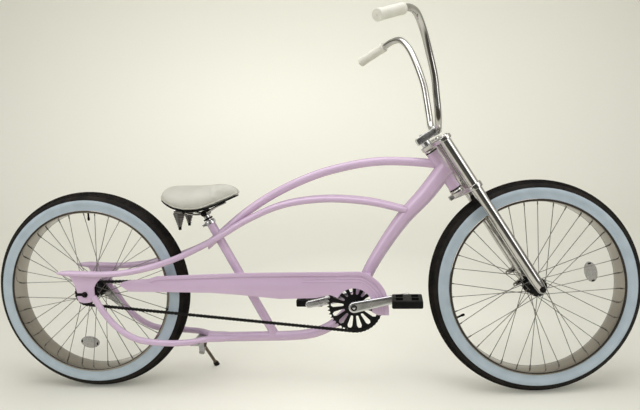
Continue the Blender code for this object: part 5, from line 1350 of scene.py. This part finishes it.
def maths(tree, operation, *inputs):
    """Sum worked out by a node from sockets and plain numbers."""
    node = tree.nodes.new("ShaderNodeMath")
    node.operation = operation
    for socket, value in zip(node.inputs, inputs):
        if isinstance(value, float):
            socket.default_value = value
        else:
            tree.links.new(value, socket)
    return node.outputs[0]


def blend(tree, share, first, second):
    """One shader where the share is nothing and the other where it is one."""
    node = tree.nodes.new("ShaderNodeMixShader")
    for socket, value in zip(node.inputs, (share, first, second)):
        tree.links.new(value, socket)
    return node.outputs["Shader"]


def parts_of(tree, vector):
    """The three numbers of a vector, each as a socket."""
    node = tree.nodes.new("ShaderNodeSeparateXYZ")
    tree.links.new(vector, node.inputs["Vector"])
    return node.outputs


def painted_light_pool(tree, place, centre, reach):
    """Soft blob of painted light that is one at its centre and fades to nothing at its reach along each axis.
    """
    mapping = tree.nodes.new("ShaderNodeMapping")
    mapping.inputs["Scale"].default_value = [1 / r for r in reach]
    mapping.inputs["Location"].default_value = [-c / r for c, r in zip(centre, reach)]
    blob = tree.nodes.new("ShaderNodeTexGradient")
    blob.gradient_type = "SPHERICAL"
    tree.links.new(place.outputs["Object"], mapping.inputs["Vector"])
    tree.links.new(mapping.outputs["Vector"], blob.inputs["Vector"])
    return blob.outputs["Fac"]


def sweep_shape():
    """Floor that rises behind in one smooth curve."""
    start()
    bpy.ops.mesh.primitive_plane_add(size=1, location=(0, 0, 0))
    sweep = bpy.context.object
    for corner in sweep.data.vertices:
        corner.co = (corner.co.x * SWEEP_WIDTH, SWEEP_FRONT if corner.co.y < 0 else SWEEP_BEND, 0)
    bends = [radians(9 * k) for k in range(1, 11)]
    rising = [(SWEEP_BEND + SWEEP_RADIUS * sin(a), SWEEP_RADIUS - SWEEP_RADIUS * cos(a)) for a in bends]
    rising.append((SWEEP_BEND + SWEEP_RADIUS, SWEEP_TOP))
    shaping(select=False)
    mesh = bmesh.from_edit_mesh(sweep.data)
    for corner in mesh.verts:
        corner.select_set(corner.co.y > 0)
    mesh.select_flush(True)
    bmesh.update_edit_mesh(sweep.data)
    y, z = SWEEP_BEND, 0.0
    for new_y, new_z in rising:
        bpy.ops.mesh.extrude_edges_move(TRANSFORM_OT_translate={"value": (0, new_y - y, new_z - z)})
        y, z = new_y, new_z
    shaped()
    sweep.data.shade_smooth()
    sweep.name = "studio_sweep"
    return sweep


def sweep_finish():
    """Matt and pale, with two soft pools of painted light that only the camera sees, given off as emission.

    Polished parts mirror a dark floor in front, and from its back the sweep is clear.
    """
    material, tree, shader, place = blank("pale_sweep", SWEEP_COLOUR, 0.9)
    shader.inputs["Specular IOR Level"].default_value = 0.0
    # Colour of the painted light that the sweep gives off
    shader.inputs["Emission Color"].default_value = (1.0, 0.985, 0.86, 1)
    rays = tree.nodes.new("ShaderNodeLightPath")
    # Painted pools of light: a wide one high behind the bicycle, and a small one on the floor under it on top
    # of a faint lift everywhere
    high = painted_light_pool(tree, place, (-0.8, 3.4, 0.95), (5.0, 3.0, 2.2))
    low = painted_light_pool(tree, place, (0.1, 0.05, 0.0), (1.0, 1.6, 1.0))
    painted_light = maths(tree, "MULTIPLY_ADD", high, 0.40, span(tree, low, 0.05, 0.30, 0.0, 1.0))
    # The painted light is given off to camera rays only, so it lights nothing else
    painted_light_to_camera = maths(tree, "MULTIPLY", painted_light, rays.outputs["Is Camera Ray"])
    tree.links.new(painted_light_to_camera, shader.inputs["Emission Strength"])
    in_front = span(tree, parts_of(tree, place.outputs["Object"])["Y"], 1.0, 0.0, -1.9, -1.1)
    mirrored = maths(tree, "MULTIPLY", in_front, rays.outputs["Is Glossy Ray"])
    colour = shades(tree, mirrored, SWEEP_COLOUR, SWEEP_MIRRORED, 0.0, 1.0)
    tree.links.new(colour, shader.inputs["Base Color"])
    side = tree.nodes.new("ShaderNodeNewGeometry")
    clear = tree.nodes.new("ShaderNodeBsdfTransparent")
    one_way = blend(tree, side.outputs["Backfacing"], shader.outputs["BSDF"], clear.outputs["BSDF"])
    tree.links.new(one_way, tree.nodes["Material Output"].inputs["Surface"])
    return material


sweep = sweep_shape()
sweep.data.materials.append(sweep_finish())


def soft_light(name, location, target, size, power):
    """Rectangular lamp turned to its target."""
    start()
    bpy.ops.object.light_add(type="AREA", location=location)
    lamp = bpy.context.object
    lamp.name = name
    lamp.rotation_euler = (Vector(target) - Vector(location)).to_track_quat("-Z", "Y").to_euler()
    lamp.data.shape = "RECTANGLE"
    lamp.data.size, lamp.data.size_y = size
    lamp.data.energy = power


soft_light("overhead_box", (0.0, -0.4, 3.4), (0, 0, 0.4), (3.6, 2.6), 60)
soft_light("left_box", (-2.8, -2.6, 2.2), (0, 0, 0.5), (1.6, 2.2), 22)
soft_light("right_strip", (3.0, -1.8, 1.8), (0.2, 0, 0.5), (0.8, 2.2), 13)

# Greys of the studio that polished parts mirror, as (place, grey): from below to overhead, and then
# from the camera's side by the left all the way round
HEIGHT_BANDS = ((0.0, 0.60), (0.47, 0.50), (0.53, 0.16), (0.60, 0.22), (0.68, 0.90), (0.80, 1.0), (1.0, 0.75))
BEARING_BANDS = ((0.0, 0.18), (0.07, 0.22), (0.12, 1.0), (0.22, 1.0), (0.27, 0.35), (0.73, 0.35), (0.78, 1.0),
                 (0.86, 1.0), (0.92, 0.22), (1.0, 0.18))


def bands(tree, factor, stops):
    """Greys that change with a factor, from (place, grey) pairs."""
    ramp = tree.nodes.new("ShaderNodeValToRGB")
    while len(ramp.color_ramp.elements) < len(stops):
        ramp.color_ramp.elements.new(0.5)
    for element, (position, grey) in zip(ramp.color_ramp.elements, stops):
        element.position = position
        element.color = (grey, grey * 0.985, grey * 0.95, 1)
    tree.links.new(factor, ramp.inputs["Fac"])
    return ramp.outputs["Color"]


def sky(tree, colour, strength):
    """Even light from all round, its colour a plain one or a socket."""
    node = tree.nodes.new("ShaderNodeBackground")
    if isinstance(colour, tuple):
        node.inputs["Color"].default_value = (*colour, 1)
    else:
        tree.links.new(colour, node.inputs["Color"])
    node.inputs["Strength"].default_value = strength
    return node.outputs["Background"]


def make_world():
    """Air that lights the scene evenly, but is banded in reflections and a pale wall to the camera."""
    world = bpy.data.worlds.new("studio_air")
    bpy.context.scene.world = world
    world.use_nodes = True
    tree = world.node_tree
    tree.nodes.clear()
    output = tree.nodes.new("ShaderNodeOutputWorld")
    rays = tree.nodes.new("ShaderNodeLightPath")
    place = tree.nodes.new("ShaderNodeTexCoord")
    way = parts_of(tree, place.outputs["Generated"])
    height = span(tree, way["Z"], 0.0, 1.0, -1.0, 1.0)
    bearing = span(tree, maths(tree, "ARCTAN2", way["X"], way["Y"]), 0.0, 1.0, -pi, pi)
    both = tree.nodes.new("ShaderNodeMix")
    both.data_type = "RGBA"
    both.blend_type = "MULTIPLY"
    both.inputs["Factor"].default_value = 1.0
    tree.links.new(bands(tree, height, HEIGHT_BANDS), both.inputs["A"])
    tree.links.new(bands(tree, bearing, BEARING_BANDS), both.inputs["B"])
    air = sky(tree, (1.0, 0.99, 0.96), 0.46)
    mirrored = sky(tree, both.outputs["Result"], 1.3)
    beyond = sky(tree, (0.74, 0.73, 0.64), 1.0)
    lit = blend(tree, rays.outputs["Is Glossy Ray"], air, mirrored)
    tree.links.new(blend(tree, rays.outputs["Is Camera Ray"], lit, beyond), output.inputs["Surface"])


make_world()

# The camera in the ride frame, fitted to both wheels in the photograph
CAMERA_PLACE = (0.2947, -2.0559, 0.8685)
CAMERA_YAW = 0.1142
CAMERA_PITCH = -0.113
CAMERA_ROLL = -0.0365
SENSOR = 36.0
FOCAL_PIXELS = 619.55
PHOTO_WIDTH = 640


def make_camera():
    """Camera aimed by its three angles and hung in the ride frame."""
    start()
    right = Vector((cos(CAMERA_YAW), sin(CAMERA_YAW), 0))
    level = cos(CAMERA_PITCH)
    look = Vector((-sin(CAMERA_YAW) * level, cos(CAMERA_YAW) * level, sin(CAMERA_PITCH)))
    up = right.cross(look)
    turn, lean = cos(CAMERA_ROLL), sin(CAMERA_ROLL)
    right, up = right * turn + up * lean, up * turn - right * lean
    bpy.ops.object.camera_add(location=(0, 0, 0))
    camera = bpy.context.object
    camera.data.sensor_width = SENSOR
    camera.data.lens = FOCAL_PIXELS / PHOTO_WIDTH * SENSOR
    camera.matrix_world = RIDE @ square(right, up, -look, CAMERA_PLACE)
    bpy.context.scene.camera = camera


make_camera()
bpy.context.scene.view_settings.view_transform = "Standard"

start()
